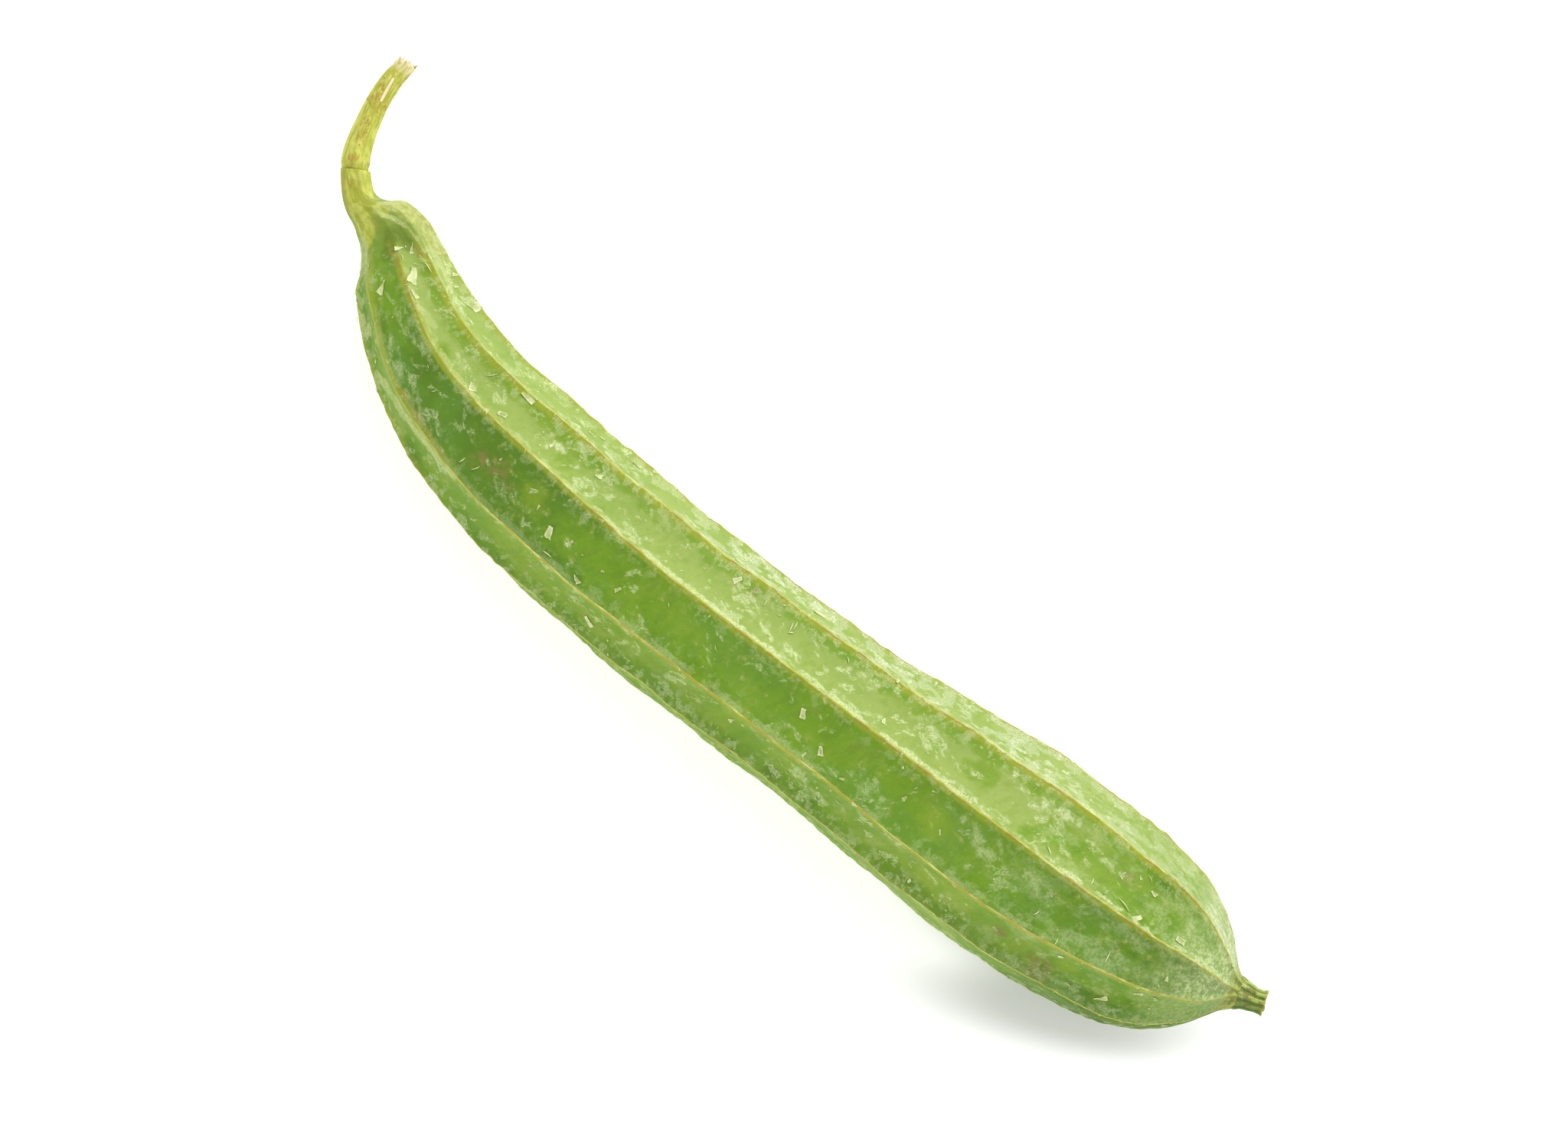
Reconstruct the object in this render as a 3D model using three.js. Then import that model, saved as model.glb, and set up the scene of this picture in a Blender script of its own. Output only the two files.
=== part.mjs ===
import * as THREE from 'three';

// A ridge gourd (angled luffa) as picked, lying on a table. Millimetres, +Z up.
// +X runs along the fruit, from the cut stem to the blossom end, and the neck bends towards +Y.
// The origin is on the table, under the middle of the gourd's box.

// ---- Driving dimensions ----

// The fruit, from the crease under the stem to the dried flower stub. Each station has the way
// along the fruit, the middle of the section in plan, half its width over the crests, the
// heading of the middle line in degrees from +X, and the ridge height as a share of halfWidth.
const FRUIT_STATIONS = [
  { along: 0, x: -148.5, y: 12.8, halfWidth: 3.75, heading: -56, ridge: 0 },
  { along: 5, x: -144.7, y: 9.2, halfWidth: 4, heading: -47, ridge: 0 },
  { along: 8, x: -142.2, y: 8, halfWidth: 4.6, heading: -40, ridge: 0.01 },
  { along: 10.5, x: -139.8, y: 7.9, halfWidth: 5.65, heading: -33, ridge: 0.015 },
  { along: 13, x: -137.3, y: 8.3, halfWidth: 6.85, heading: -25, ridge: 0.025 },
  { along: 16.5, x: -133.9, y: 7.8, halfWidth: 8.15, heading: -22, ridge: 0.045 },
  { along: 20.5, x: -129.8, y: 6.3, halfWidth: 9.5, heading: -25, ridge: 0.065 },
  { along: 25.5, x: -125.4, y: 3.7, halfWidth: 11, heading: -31, ridge: 0.085 },
  { along: 32, x: -120.4, y: -0.1, halfWidth: 13.1, heading: -35, ridge: 0.1 },
  { along: 50, x: -104.5, y: -9.1, halfWidth: 16.6, heading: -23, ridge: 0.11 },
  { along: 68, x: -87.3, y: -14.6, halfWidth: 19.2, heading: -13, ridge: 0.11 },
  { along: 86, x: -69.4, y: -17.5, halfWidth: 21.3, heading: -6.5, ridge: 0.11 },
  { along: 109, x: -46.8, y: -18.9, halfWidth: 22.2, heading: -2, ridge: 0.11 },
  { along: 140, x: -15, y: -18.9, halfWidth: 22.5, heading: 2, ridge: 0.11 },
  { along: 190, x: 34.6, y: -16.3, halfWidth: 23.1, heading: 4, ridge: 0.11 },
  { along: 217, x: 61.6, y: -14.3, halfWidth: 25.5, heading: 4.5, ridge: 0.11 },
  { along: 244, x: 88.6, y: -12.1, halfWidth: 27, heading: 5, ridge: 0.11 },
  { along: 267, x: 111, y: -10, halfWidth: 25.6, heading: 6, ridge: 0.11 },
  { along: 280, x: 124.2, y: -8.4, halfWidth: 23.8, heading: 7.5, ridge: 0.105 },
  { along: 289.5, x: 133, y: -7, halfWidth: 20.3, heading: 8.5, ridge: 0.1 },
  { along: 298.5, x: 141.8, y: -5.6, halfWidth: 13.8, heading: 10, ridge: 0.1 },
  { along: 303.5, x: 146.5, y: -4.4, halfWidth: 8.3, heading: 12, ridge: 0.1 },
  { along: 305.5, x: 148.45, y: -3.6, halfWidth: 5.8, heading: 15, ridge: 0.1 },
  { along: 307.5, x: 150.4, y: -2.9, halfWidth: 4.2, heading: 20, ridge: 0.08 },
];

// Where the ten crests stand round the fruit, in degrees from straight up and positive towards
// +Y. They wind a little on their way.
const CREST_STATIONS = [
  { along: 20, crests: [-163, -137, -112, -80, -44, 0, 34, 70, 112, 154] },
  { along: 50, crests: [-163, -137, -112, -82, -44, 5, 40, 76, 118, 158] },
  { along: 83, crests: [-163, -135, -107, -71, -36, 13, 48, 85, 123, 161] },
  { along: 140, crests: [-163, -133, -103, -62, -29.5, 14, 52.5, 90, 126, 163] },
  { along: 190, crests: [-163, -133, -103, -62, -29.5, 13, 52, 88, 126, 163] },
  { along: 235, crests: [-163, -133, -103, -59, -29.5, 9, 47, 86, 125, 163] },
  { along: 280, crests: [-163, -132, -100, -56, -23.5, 8, 45, 85, 124, 162] },
  { along: 298, crests: [-163, -132, -98, -54.5, -19.5, 10.5, 43, 84, 123, 161] },
  { along: 307.5, crests: [-163, -132, -94, -40, -6, 12, 38, 80, 120, 160] },
];
const CRESTS = 10;
const CREST_WIDTH = 0.9; // of the blunt line along the top of each ridge
const VALLEY_POWER = 0.7; // under 1, so that a broad valley floor lies between steep flanks

// The crests rise and fall a little along the fruit.
const CREST_SWELL = 0.35;
const SWELL_LENGTH = 31; // from one rise to the next
const SWELL_SHIFT = 2.4; // radians that each crest's rises are ahead of its neighbour's
const FULL_RIDGE = 0.11; // the ridge share where the swell is at its full height

// The gourd lies on its belly and on the low crests nearer the neck, so its middle line climbs
// towards the blossom end.
const MIDDLE_HEIGHT = 22.5; // of the middle line over the table, at x = 0
const MIDDLE_CLIMB = 0.034; // up for each millimetre of x
const TABLE = 0; // the crests that touch the table are pressed flat on it

const RING_SPACING = 4.6; // between the rings of points that make up the fruit

// The cut stem, from the crease outwards. z is its rise over the fruit's middle line.
const STEM_STATIONS = [
  { along: 0, x: -148.7, y: 13.1, z: 0, radius: 3.65 },
  { along: 3.2, x: -150.5, y: 15.7, z: 0, radius: 3.5 },
  { along: 6.2, x: -151.7, y: 18.4, z: 0.2, radius: 3.35 },
  { along: 10.2, x: -153, y: 22.2, z: 0.7, radius: 3.15 },
  { along: 14.3, x: -154.1, y: 26.2, z: 1.3, radius: 3 },
  { along: 19.4, x: -155.1, y: 31.3, z: 2.1, radius: 2.8 },
  { along: 24.1, x: -155.4, y: 36.1, z: 2.8, radius: 2.65 },
  { along: 29.3, x: -155.2, y: 41.3, z: 3.4, radius: 2.5 },
];
const STEM = { stations: STEM_STATIONS, ribs: 5, ribShare: 0.05, sides: 20, steps: 18, dish: 0 };

// The dried flower stub, from the tip of the fruit outwards. Its ribs are the ends of the
// fruit's veins, and its dry end is hollowed by the dish.
const STUB_STATIONS = [
  { along: 0, x: 150.75, y: -2.75, z: 0, radius: 4 },
  { along: 1.6, x: 152.2, y: -2.25, z: 0, radius: 3.4 },
  { along: 3.7, x: 154.3, y: -1.7, z: 0, radius: 2.95 },
  { along: 5.6, x: 156.1, y: -1, z: 0, radius: 2.8 },
  { along: 6.8, x: 157.2, y: -0.55, z: 0, radius: 2.95 },
];
const STUB = { stations: STUB_STATIONS, ribs: 9, ribShare: 0.09, sides: 36, steps: 6, dish: 0.9 };

// ---- Helpers ----

const degrees = (angle) => (angle * Math.PI) / 180;

const middleHeight = (x) => MIDDLE_HEIGHT + MIDDLE_CLIMB * x;

// A smooth value between the stations: a cubic from one station to the next, whose slope at a
// station is the slope between its two neighbours.
function between(stations, along, read) {
  const last = stations.length - 1;
  const slopeAt = (i) => {
    const before = stations[Math.max(i - 1, 0)];
    const after = stations[Math.min(i + 1, last)];
    return (read(after) - read(before)) / (after.along - before.along);
  };
  let low = 0;
  while (low < last - 1 && along > stations[low + 1].along) low += 1;
  const from = stations[low];
  const to = stations[low + 1];
  const span = to.along - from.along;
  const t = THREE.MathUtils.clamp((along - from.along) / span, 0, 1);
  const value = (1 + 2 * t) * (1 - t) ** 2 * read(from) + t * t * (3 - 2 * t) * read(to);
  const slope = t * (1 - t) ** 2 * slopeAt(low) - t * t * (1 - t) * slopeAt(low + 1);
  return value + slope * span;
}

// A closed skin over rings of points that follow each other along a body. Each ring starts at
// the top and goes round by way of +Y. The two end points close the first and the last ring.
function skin(rings, startPoint, endPoint) {
  const sides = rings[0].length;
  const points = [...rings.flat(), startPoint, endPoint];
  const start = points.length - 2;
  const end = points.length - 1;
  const lastRing = (rings.length - 1) * sides;
  const faces = [];
  for (let side = 0; side < sides; side += 1) {
    const next = (side + 1) % sides;
    for (let row = 0; row < lastRing; row += sides) {
      faces.push(row + side, row + sides + side, row + next);
      faces.push(row + next, row + sides + side, row + sides + next);
    }
    faces.push(start, side, next);
    faces.push(end, lastRing + next, lastRing + side);
  }
  const geometry = new THREE.BufferGeometry().setFromPoints(points);
  geometry.setIndex(faces);
  geometry.computeVertexNormals();
  return geometry;
}

// ---- Fruit ----

// The points from one crest to the next, as shares of the gap between the crests' edges.
const VALLEY_SHARES = [0, 0.13, 0.36, 0.64, 0.87, 1];

// One section of the fruit: its middle, and its ring of points. Each crest is a blunt line, and
// between two crests the skin sinks by the ridge height times sin(pi * share) to VALLEY_POWER.
function fruitSection(along) {
  const read = (key) => between(FRUIT_STATIONS, along, (station) => station[key]);
  const halfWidth = read('halfWidth');
  const ridge = read('ridge');
  const heading = degrees(read('heading'));
  const sideways = new THREE.Vector3(-Math.sin(heading), Math.cos(heading), 0);
  const middle = new THREE.Vector3(read('x'), read('y'), middleHeight(read('x')));
  const crestAngle = (k) => {
    const turns = Math.floor(k / CRESTS) * 360;
    return turns + between(CREST_STATIONS, along, (station) => station.crests[k % CRESTS]);
  };
  const crestSwell = (k) => {
    const phase = (2 * Math.PI * along) / SWELL_LENGTH + SWELL_SHIFT * (k % CRESTS);
    return (CREST_SWELL * Math.sin(phase) * ridge) / FULL_RIDGE;
  };
  const ring = [];
  for (let k = 0; k < CRESTS; k += 1) {
    const gap = crestAngle(k + 1) - crestAngle(k);
    const edge = Math.min((0.5 * CREST_WIDTH) / (halfWidth * degrees(gap)), 0.1);
    for (const share of VALLEY_SHARES) {
      const angle = degrees(crestAngle(k) + gap * (edge + share * (1 - 2 * edge)));
      const valley = Math.sin(Math.PI * share) ** VALLEY_POWER;
      const swell = crestSwell(k) * (1 - share) + crestSwell(k + 1) * share;
      const radius = (halfWidth + swell * (1 - valley)) * (1 - ridge * valley);
      const point = middle.clone().addScaledVector(sideways, radius * Math.sin(angle));
      point.z = Math.max(point.z + radius * Math.cos(angle), TABLE);
      ring.push(point);
    }
  }
  return { middle, ring };
}

// Rings at every station and, between two stations, as evenly as RING_SPACING allows.
function fruitGeometry() {
  const places = [FRUIT_STATIONS[0].along];
  for (const station of FRUIT_STATIONS.slice(1)) {
    const from = places.at(-1);
    const span = station.along - from;
    const steps = Math.max(1, Math.round(span / RING_SPACING));
    for (let step = 1; step <= steps; step += 1) places.push(from + (span * step) / steps);
  }
  const sections = places.map(fruitSection);
  const rings = sections.map((section) => section.ring);
  return skin(rings, sections[0].middle, sections.at(-1).middle);
}

// ---- Stem and flower stub ----

function stalkMiddle(stations, along) {
  const read = (key) => between(stations, along, (station) => station[key]);
  return new THREE.Vector3(read('x'), read('y'), middleHeight(read('x')) + read('z'));
}

// A slim ribbed stalk through its stations, with its rings square to the way it runs. The dish
// sinks the middle of its far end.
function stalkGeometry({ stations, ribs, ribShare, sides, steps, dish }) {
  const length = stations.at(-1).along;
  const nudge = length / (4 * steps);
  const rings = [];
  for (let step = 0; step <= steps; step += 1) {
    const along = (length * step) / steps;
    const middle = stalkMiddle(stations, along);
    const behind = stalkMiddle(stations, Math.max(along - nudge, 0));
    const ahead = stalkMiddle(stations, Math.min(along + nudge, length));
    const forward = ahead.sub(behind).normalize();
    const sideways = new THREE.Vector3(-forward.y, forward.x, 0).normalize();
    const up = new THREE.Vector3().crossVectors(forward, sideways);
    const radius = between(stations, along, (station) => station.radius);
    const ring = [];
    for (let i = 0; i < sides; i += 1) {
      const angle = (2 * Math.PI * i) / sides;
      const reach = radius * (1 + ribShare * Math.cos(ribs * angle));
      const point = middle.clone().addScaledVector(sideways, reach * Math.sin(angle));
      ring.push(point.addScaledVector(up, reach * Math.cos(angle)));
    }
    rings.push(ring);
  }
  return skin(rings, stalkMiddle(stations, 0), stalkMiddle(stations, length - dish));
}

// ---- Assembly ----

function namedMesh(name, geometry, color, roughness) {
  const material = new THREE.MeshStandardMaterial({ color, roughness, metalness: 0 });
  const mesh = new THREE.Mesh(geometry, material);
  mesh.name = name;
  return mesh;
}

const gourd = new THREE.Group();
gourd.add(namedMesh('fruit', fruitGeometry(), 0x79a83f, 0.45));
gourd.add(namedMesh('stem', stalkGeometry(STEM), 0xa9bf4b, 0.6));
gourd.add(namedMesh('blossom_end', stalkGeometry(STUB), 0x8f9a55, 0.8));

export default gourd;
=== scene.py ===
# %% [markdown]
# # A ridge gourd on a pale table
# A ridge gourd is a long green fruit with ten raised lines, or crests, and broad valleys between
# them. This lesson puts a finely modelled skin over the packed model of the fruit, its cut stem
# and its dried flower stub. It then adds the loose flakes and fibres that lie on such a skin, the
# finishes, and a bright studio. The packed model is loaded first, because every size and place
# below has to agree with it.

import math

import bpy
import numpy as np
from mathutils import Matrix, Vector


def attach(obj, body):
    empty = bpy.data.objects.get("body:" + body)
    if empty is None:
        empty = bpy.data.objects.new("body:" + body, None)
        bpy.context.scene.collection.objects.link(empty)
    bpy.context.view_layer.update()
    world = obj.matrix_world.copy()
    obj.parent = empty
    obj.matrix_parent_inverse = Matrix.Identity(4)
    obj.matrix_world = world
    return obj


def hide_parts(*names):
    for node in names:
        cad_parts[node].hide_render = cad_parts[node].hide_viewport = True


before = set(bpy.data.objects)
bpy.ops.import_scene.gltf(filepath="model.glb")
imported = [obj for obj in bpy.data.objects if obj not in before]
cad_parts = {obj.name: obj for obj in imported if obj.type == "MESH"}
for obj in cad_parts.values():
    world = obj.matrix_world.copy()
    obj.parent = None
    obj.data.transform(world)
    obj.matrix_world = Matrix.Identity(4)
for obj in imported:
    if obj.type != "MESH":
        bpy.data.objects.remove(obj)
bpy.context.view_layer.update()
MM = 0.001  # metres in a millimetre: shapes below are worked out in millimetres

# %% [markdown]
# ## The camera
# The gourd lies on the table and is seen from straight above, so that its neck points to the top
# left of the picture. A real photographer would hang the camera from an arm. Here a long lens
# keeps both ends of the fruit nearly free of perspective, and a turn about the vertical lays the
# fruit along the picture's diagonal.

# %% Camera
PICTURE = (2048, 1483)  # pixels
LENS, SENSOR = 85.0, 36.0
CAMERA_PLACE = np.array([-2.75, 5.61, 941.8])
CAMERA_TURN = math.radians(40)
PICTURE_RIGHT = np.array([math.cos(CAMERA_TURN), math.sin(CAMERA_TURN), 0.0])
PICTURE_UP = np.array([-math.sin(CAMERA_TURN), math.cos(CAMERA_TURN), 0.0])

camera = bpy.data.objects.new("camera", bpy.data.cameras.new("camera"))
camera.data.lens = LENS
camera.data.sensor_width = SENSOR
camera.location = Vector(CAMERA_PLACE * MM)
camera.rotation_euler = (0.0, 0.0, CAMERA_TURN)
bpy.context.scene.collection.objects.link(camera)
bpy.context.scene.camera = camera
print("camera height in mm:", CAMERA_PLACE[2])

# %% [markdown]
# ## Shapes from stations
# The fruit, the stem and the stub are each given by a short list of stations: how far along the
# piece, and what its middle line and its size are there. They are the same stations that the
# solid model has. A smooth curve through the stations could come from a spline object, but a
# cubic worked out with numpy gives every ring of the skin in one go.

# %% Stations of the fruit, the stem and the stub
# along, x, y, half the width over the crests, heading of the middle line in degrees, ridge height
# as a share of the half width
FRUIT_STATIONS = np.array([
    [0, -148.5, 12.8, 3.75, -56, 0],
    [5, -144.7, 9.2, 4, -47, 0],
    [8, -142.2, 8, 4.6, -40, 0.01],
    [10.5, -139.8, 7.9, 5.65, -33, 0.015],
    [13, -137.3, 8.3, 6.85, -25, 0.025],
    [16.5, -133.9, 7.8, 8.15, -22, 0.045],
    [20.5, -129.8, 6.3, 9.5, -25, 0.065],
    [25.5, -125.4, 3.7, 11, -31, 0.085],
    [32, -120.4, -0.1, 13.1, -35, 0.1],
    [50, -104.5, -9.1, 16.6, -23, 0.11],
    [68, -87.3, -14.6, 19.2, -13, 0.11],
    [86, -69.4, -17.5, 21.3, -6.5, 0.11],
    [109, -46.8, -18.9, 22.2, -2, 0.11],
    [140, -15, -18.9, 22.5, 2, 0.11],
    [190, 34.6, -16.3, 23.1, 4, 0.11],
    [217, 61.6, -14.3, 25.5, 4.5, 0.11],
    [244, 88.6, -12.1, 27, 5, 0.11],
    [267, 111, -10, 25.6, 6, 0.11],
    [280, 124.2, -8.4, 23.8, 7.5, 0.105],
    [289.5, 133, -7, 20.3, 8.5, 0.1],
    [298.5, 141.8, -5.6, 13.8, 10, 0.1],
    [303.5, 146.5, -4.4, 8.3, 12, 0.1],
    [305.5, 148.45, -3.6, 5.8, 15, 0.1],
    [307.5, 150.4, -2.9, 4.2, 20, 0.08],
])
# along, then where the ten crests stand, in degrees from straight up and positive towards +Y
CREST_STATIONS = np.array([
    [20, -163, -137, -112, -80, -44, 0, 34, 70, 112, 154],
    [50, -163, -137, -112, -82, -44, 5, 40, 76, 118, 158],
    [83, -163, -135, -107, -71, -36, 13, 48, 85, 123, 161],
    [140, -163, -133, -103, -62, -29.5, 14, 52.5, 90, 126, 163],
    [190, -163, -133, -103, -62, -29.5, 13, 52, 88, 126, 163],
    [235, -163, -133, -103, -59, -29.5, 9, 47, 86, 125, 163],
    [280, -163, -132, -100, -56, -23.5, 8, 45, 85, 124, 162],
    [298, -163, -132, -98, -54.5, -19.5, 10.5, 43, 84, 123, 161],
    [307.5, -163, -132, -94, -40, -6, 12, 38, 80, 120, 160],
])
# along, x, y, rise over the fruit's middle line, radius
STEM_STATIONS = np.array([
    [0, -148.7, 13.1, 0, 3.65],
    [3.2, -150.5, 15.7, 0, 3.5],
    [6.2, -151.7, 18.4, 0.2, 3.35],
    [10.2, -153, 22.2, 0.7, 3.15],
    [14.3, -154.1, 26.2, 1.3, 3],
    [19.4, -155.1, 31.3, 2.1, 2.8],
    [24.1, -155.4, 36.1, 2.8, 2.65],
    [29.3, -155.2, 41.3, 3.4, 2.5],
])
STUB_STATIONS = np.array([
    [0, 150.75, -2.75, 0, 4],
    [1.6, 152.2, -2.25, 0, 3.4],
    [3.7, 154.3, -1.7, 0, 2.95],
    [5.6, 156.1, -1, 0, 2.8],
    [6.8, 157.2, -0.55, 0, 2.95],
])
print("fruit, stem and stub stations:", len(FRUIT_STATIONS), len(STEM_STATIONS), len(STUB_STATIONS))

# %% A smooth curve through the stations
FRUIT_LENGTH = FRUIT_STATIONS[-1, 0]
FULL_RIDGE = 0.11
MIDDLE_HEIGHT, MIDDLE_CLIMB = 22.5, 0.034


def middle_height(x):
    """Height of the fruit's middle line over the table: a straight, slowly climbing line."""
    return MIDDLE_HEIGHT + MIDDLE_CLIMB * x


def between(stations, along):
    """Smooth values between stations: a cubic from each station to the next, whose slope at a
    station is the slope between its two neighbours. The first column is the place along."""
    knots, values = stations[:, 0], stations[:, 1:]
    before = np.maximum(np.arange(len(knots)) - 1, 0)
    after = np.minimum(np.arange(len(knots)) + 1, len(knots) - 1)
    slopes = (values[after] - values[before]) / (knots[after] - knots[before])[:, None]
    low = np.clip(np.searchsorted(knots, along) - 1, 0, len(knots) - 2)
    span = (knots[low + 1] - knots[low])[:, None]
    t = np.clip((along - knots[low])[:, None] / span, 0, 1)
    value = (1 + 2 * t) * (1 - t) ** 2 * values[low] + t**2 * (3 - 2 * t) * values[low + 1]
    slope = t * (1 - t) ** 2 * slopes[low] - t**2 * (1 - t) * slopes[low + 1]
    return value + slope * span


print("half way along the fruit:", between(FRUIT_STATIONS, np.array([FRUIT_LENGTH / 2])).round(2))

# %% [markdown]
# ## Unevenness
# Nothing that grows is even. A sculptor would push the skin about by hand. Here a smooth random
# field does it: random numbers stand on the corners of a lattice and are blended in between. A
# fixed seed gives the same fruit each time.

# %% Smooth random fields
LATTICE = 32


def smooth_step(value, start, end):
    """0 before start, 1 past end, and 3t^2 - 2t^3 between them. It runs down if end < start."""
    t = np.clip((value - start) / (end - start), 0, 1)
    return t * t * (3 - 2 * t)


def lumps(points, size, seed):
    """A smooth random value from -1 to 1 at each point. Lumps are about as wide as size: the
    eight lattice corners round a point are blended by 3t^2 - 2t^3 on each axis."""
    corners = np.random.default_rng(seed).uniform(-1, 1, (LATTICE,) * 3)
    cell = np.floor(points / size).astype(int)
    t = points / size - cell
    t = t * t * (3 - 2 * t)
    total = np.zeros(points.shape[:-1])
    for corner in np.ndindex(2, 2, 2):
        x, y, z = np.moveaxis((cell + corner) % LATTICE, -1, 0)
        weight = np.prod(np.where(corner, t, 1 - t), axis=-1)
        total += weight * corners[x, y, z]
    return total


def waver(along, size, seed):
    """A smooth random value from -1 to 1 that changes along one way, for each of ten crests."""
    lanes = np.arange(10)[None, :] * np.ones_like(along)[:, None]
    place = np.stack([along[:, None] * np.ones(10), lanes * size * 2.5, lanes * 0], axis=-1)
    return lumps(place, size, seed)


print("a lump at the origin:", round(float(lumps(np.zeros((1, 3)) + 0.5, 1.0, 1)[0]), 3))

# %% [markdown]
# ## From rings to a mesh
# Every long piece here is a stack of rings: a ring is drawn round the middle line at each place
# along it, each ring is joined to the next by four-sided faces, and a fan of triangles closes
# both ends. All rings start at the top and go round by way of +Y, which makes the faces point
# outwards.

# %% Faces over a stack of rings
def skin_over(rings, start, end):
    """The points and faces of a closed skin over a stack of rings, each an equal count of points.
    A face joins two neighbours on a ring to the same two on the next ring."""
    rows, sides = rings.shape[:2]
    points = np.vstack([rings.reshape(-1, 3), start, end])
    here = np.arange(rows * sides).reshape(rows, sides)
    beside = np.roll(here, -1, axis=1)
    quads = np.stack([here[:-1], here[1:], beside[1:], beside[:-1]], axis=-1).reshape(-1, 4)
    first = np.stack([np.full(sides, rows * sides), here[0], beside[0]], axis=-1)
    last = np.stack([np.full(sides, rows * sides + 1), beside[-1], here[-1]], axis=-1)
    return points, quads, np.vstack([first, last])


tiny_skin = skin_over(np.zeros((2, 4, 3)), np.zeros(3), np.zeros(3))
print("two rings of four points have", [len(faces) for faces in tiny_skin[1:]], "faces")

# %% Helpers that make pieces
def make_piece(name, points, quads, triangles, slot, stands_for=None, smooth=True, **attributes):
    """A mesh object at the origin, its points given in millimetres. It rides on the one body,
    and is smooth unless its faces are meant to stay flat. Each attribute is an array with a
    number or a vector for each point."""
    mesh = bpy.data.meshes.new(name)
    corners = np.concatenate([np.ravel(quads), np.ravel(triangles)]).astype(np.int32)
    starts = np.concatenate([
        np.arange(len(quads)) * 4,
        len(quads) * 4 + np.arange(len(triangles)) * 3,
    ]).astype(np.int32)
    mesh.vertices.add(len(points))
    mesh.vertices.foreach_set("co", (points * MM).astype(np.float32).ravel())
    mesh.loops.add(len(corners))
    mesh.loops.foreach_set("vertex_index", corners)
    mesh.polygons.add(len(starts))
    mesh.polygons.foreach_set("loop_start", starts)
    mesh.polygons.foreach_set("use_smooth", np.full(len(starts), smooth))
    mesh.update(calc_edges=True)
    mesh.validate()
    for key, values in attributes.items():
        kind, field = ("FLOAT", "value") if values.ndim == 1 else ("FLOAT_VECTOR", "vector")
        layer = mesh.attributes.new(key, kind, "POINT")
        layer.data.foreach_set(field, values.astype(np.float32).ravel())
    piece = bpy.data.objects.new(name, mesh)
    bpy.context.scene.collection.objects.link(piece)
    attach(piece, "root")
    if stands_for:
        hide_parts(stands_for)
    print(f"{name}: {len(points)} points, {2 * len(quads) + len(triangles)} triangles")
    return piece


def ringed_piece(name, rings, ends, slot, stands_for, facts):
    """A piece from a stack of rings and its two end points, with what its finish needs to know
    about each point. A fact that is the same all round a ring, or all along the piece, is spread
    over the rest. An end point takes the facts of the first point on the ring beside it."""
    attributes = {}
    for key, fact in facts.items():
        values = fact if fact.ndim == 3 else np.broadcast_to(fact, rings.shape[:2])
        flat = values.reshape(-1, *values.shape[2:])
        attributes[key] = np.concatenate([flat, values[:1, 0], values[-1:, 0]])
    return make_piece(name, *skin_over(rings, *ends), slot, stands_for, **attributes)


print("helpers:", make_piece.__name__, ringed_piece.__name__)

# %% [markdown]
# ## The rind
# The rind is the whole outside of the fruit. Each section is a circle whose radius sinks between
# two crests, so the crests stand out by a ninth of the radius. A crest is a thin cord-like line
# on top of a steep flank, so the points crowd towards it, and the valley floor, which is nearly
# smooth, gets fewer. The crests wander and are nicked every few millimetres, the valley floors
# have soft lumps where the seeds press from inside, and the crests that touch the table are
# pressed flat on it. The skin could be sculpted on a subdivided cylinder, but a formula keeps it
# true to the solid model everywhere.

# %% Numbers of the rind
CRESTS = 10
STEPS = 20  # points from one crest to the next
SHARES = (1 - np.cos(np.pi * np.arange(STEPS) / STEPS)) / 2  # of the way to the next crest
ROW_GAPS = (0.45, 0.68, 0.5)  # between rings, on the neck, the body and the tip
NECK_END, TIP_START = 32.0, 280.0
CREST_SWELL, SWELL_LENGTH, SWELL_SHIFT = 0.22, 31.0, 2.4
CREST_HALF_WIDTH = 0.25
CORD_HEIGHT, CORD_WIDTH = 0.2, 0.34  # of the cord-like line along the top of a crest
ROUNDING = 0.035  # how blunt a flank starts, as a share of its steepest climb
NECK_POWER, VALLEY_POWER = 1.5, 0.72  # under 1: a broad floor between steep flanks
CREST_WANDER = 0.35
# share, size in mm and seed of the waves and lumps in each kind of unevenness
WANDER_WAVES = ((0.6, 23, 11), (0.4, 7, 12))
NICK_WAVES = ((0.4, 5.5, 13), (0.4, 2.6, 14), (0.35, 1.3, 17))
FLOOR_LUMPS = ((0.7, 8.5, 15), (0.3, 3.7, 16))
CREST_NICKS = np.array([0.3, 0.3, 0.38, 0.4, 0.22, 0.22, 0.25, 0.42, 0.35, 0.3])
NICK_REACH = 1.3  # how far down a flank a nick goes
VALLEY_LUMPS = 0.27
# plan x and y, radius and height of the swellings and hollows on top of the neck
NECK_DENTS = [(-129.6, 6.7, 2.9, -0.9), (-134.0, 14.4, 1.6, 0.35), (-128.0, 12.4, 3.6, 0.4)]

row_ends = (0.0, NECK_END, TIP_START, FRUIT_LENGTH)
fruit_rows = np.unique(np.concatenate([
    np.linspace(low, high, 1 + round((high - low) / gap))
    for low, high, gap in zip(row_ends[:-1], row_ends[1:], ROW_GAPS)
]))
print("rings:", len(fruit_rows), "points round each:", CRESTS * STEPS)


# %% The rind's surface
def uneven_mix(field, place, parts):
    """The sum of share * field(place, size, seed) over the parts."""
    return sum(share * field(place, size, seed) for share, size, seed in parts)


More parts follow.
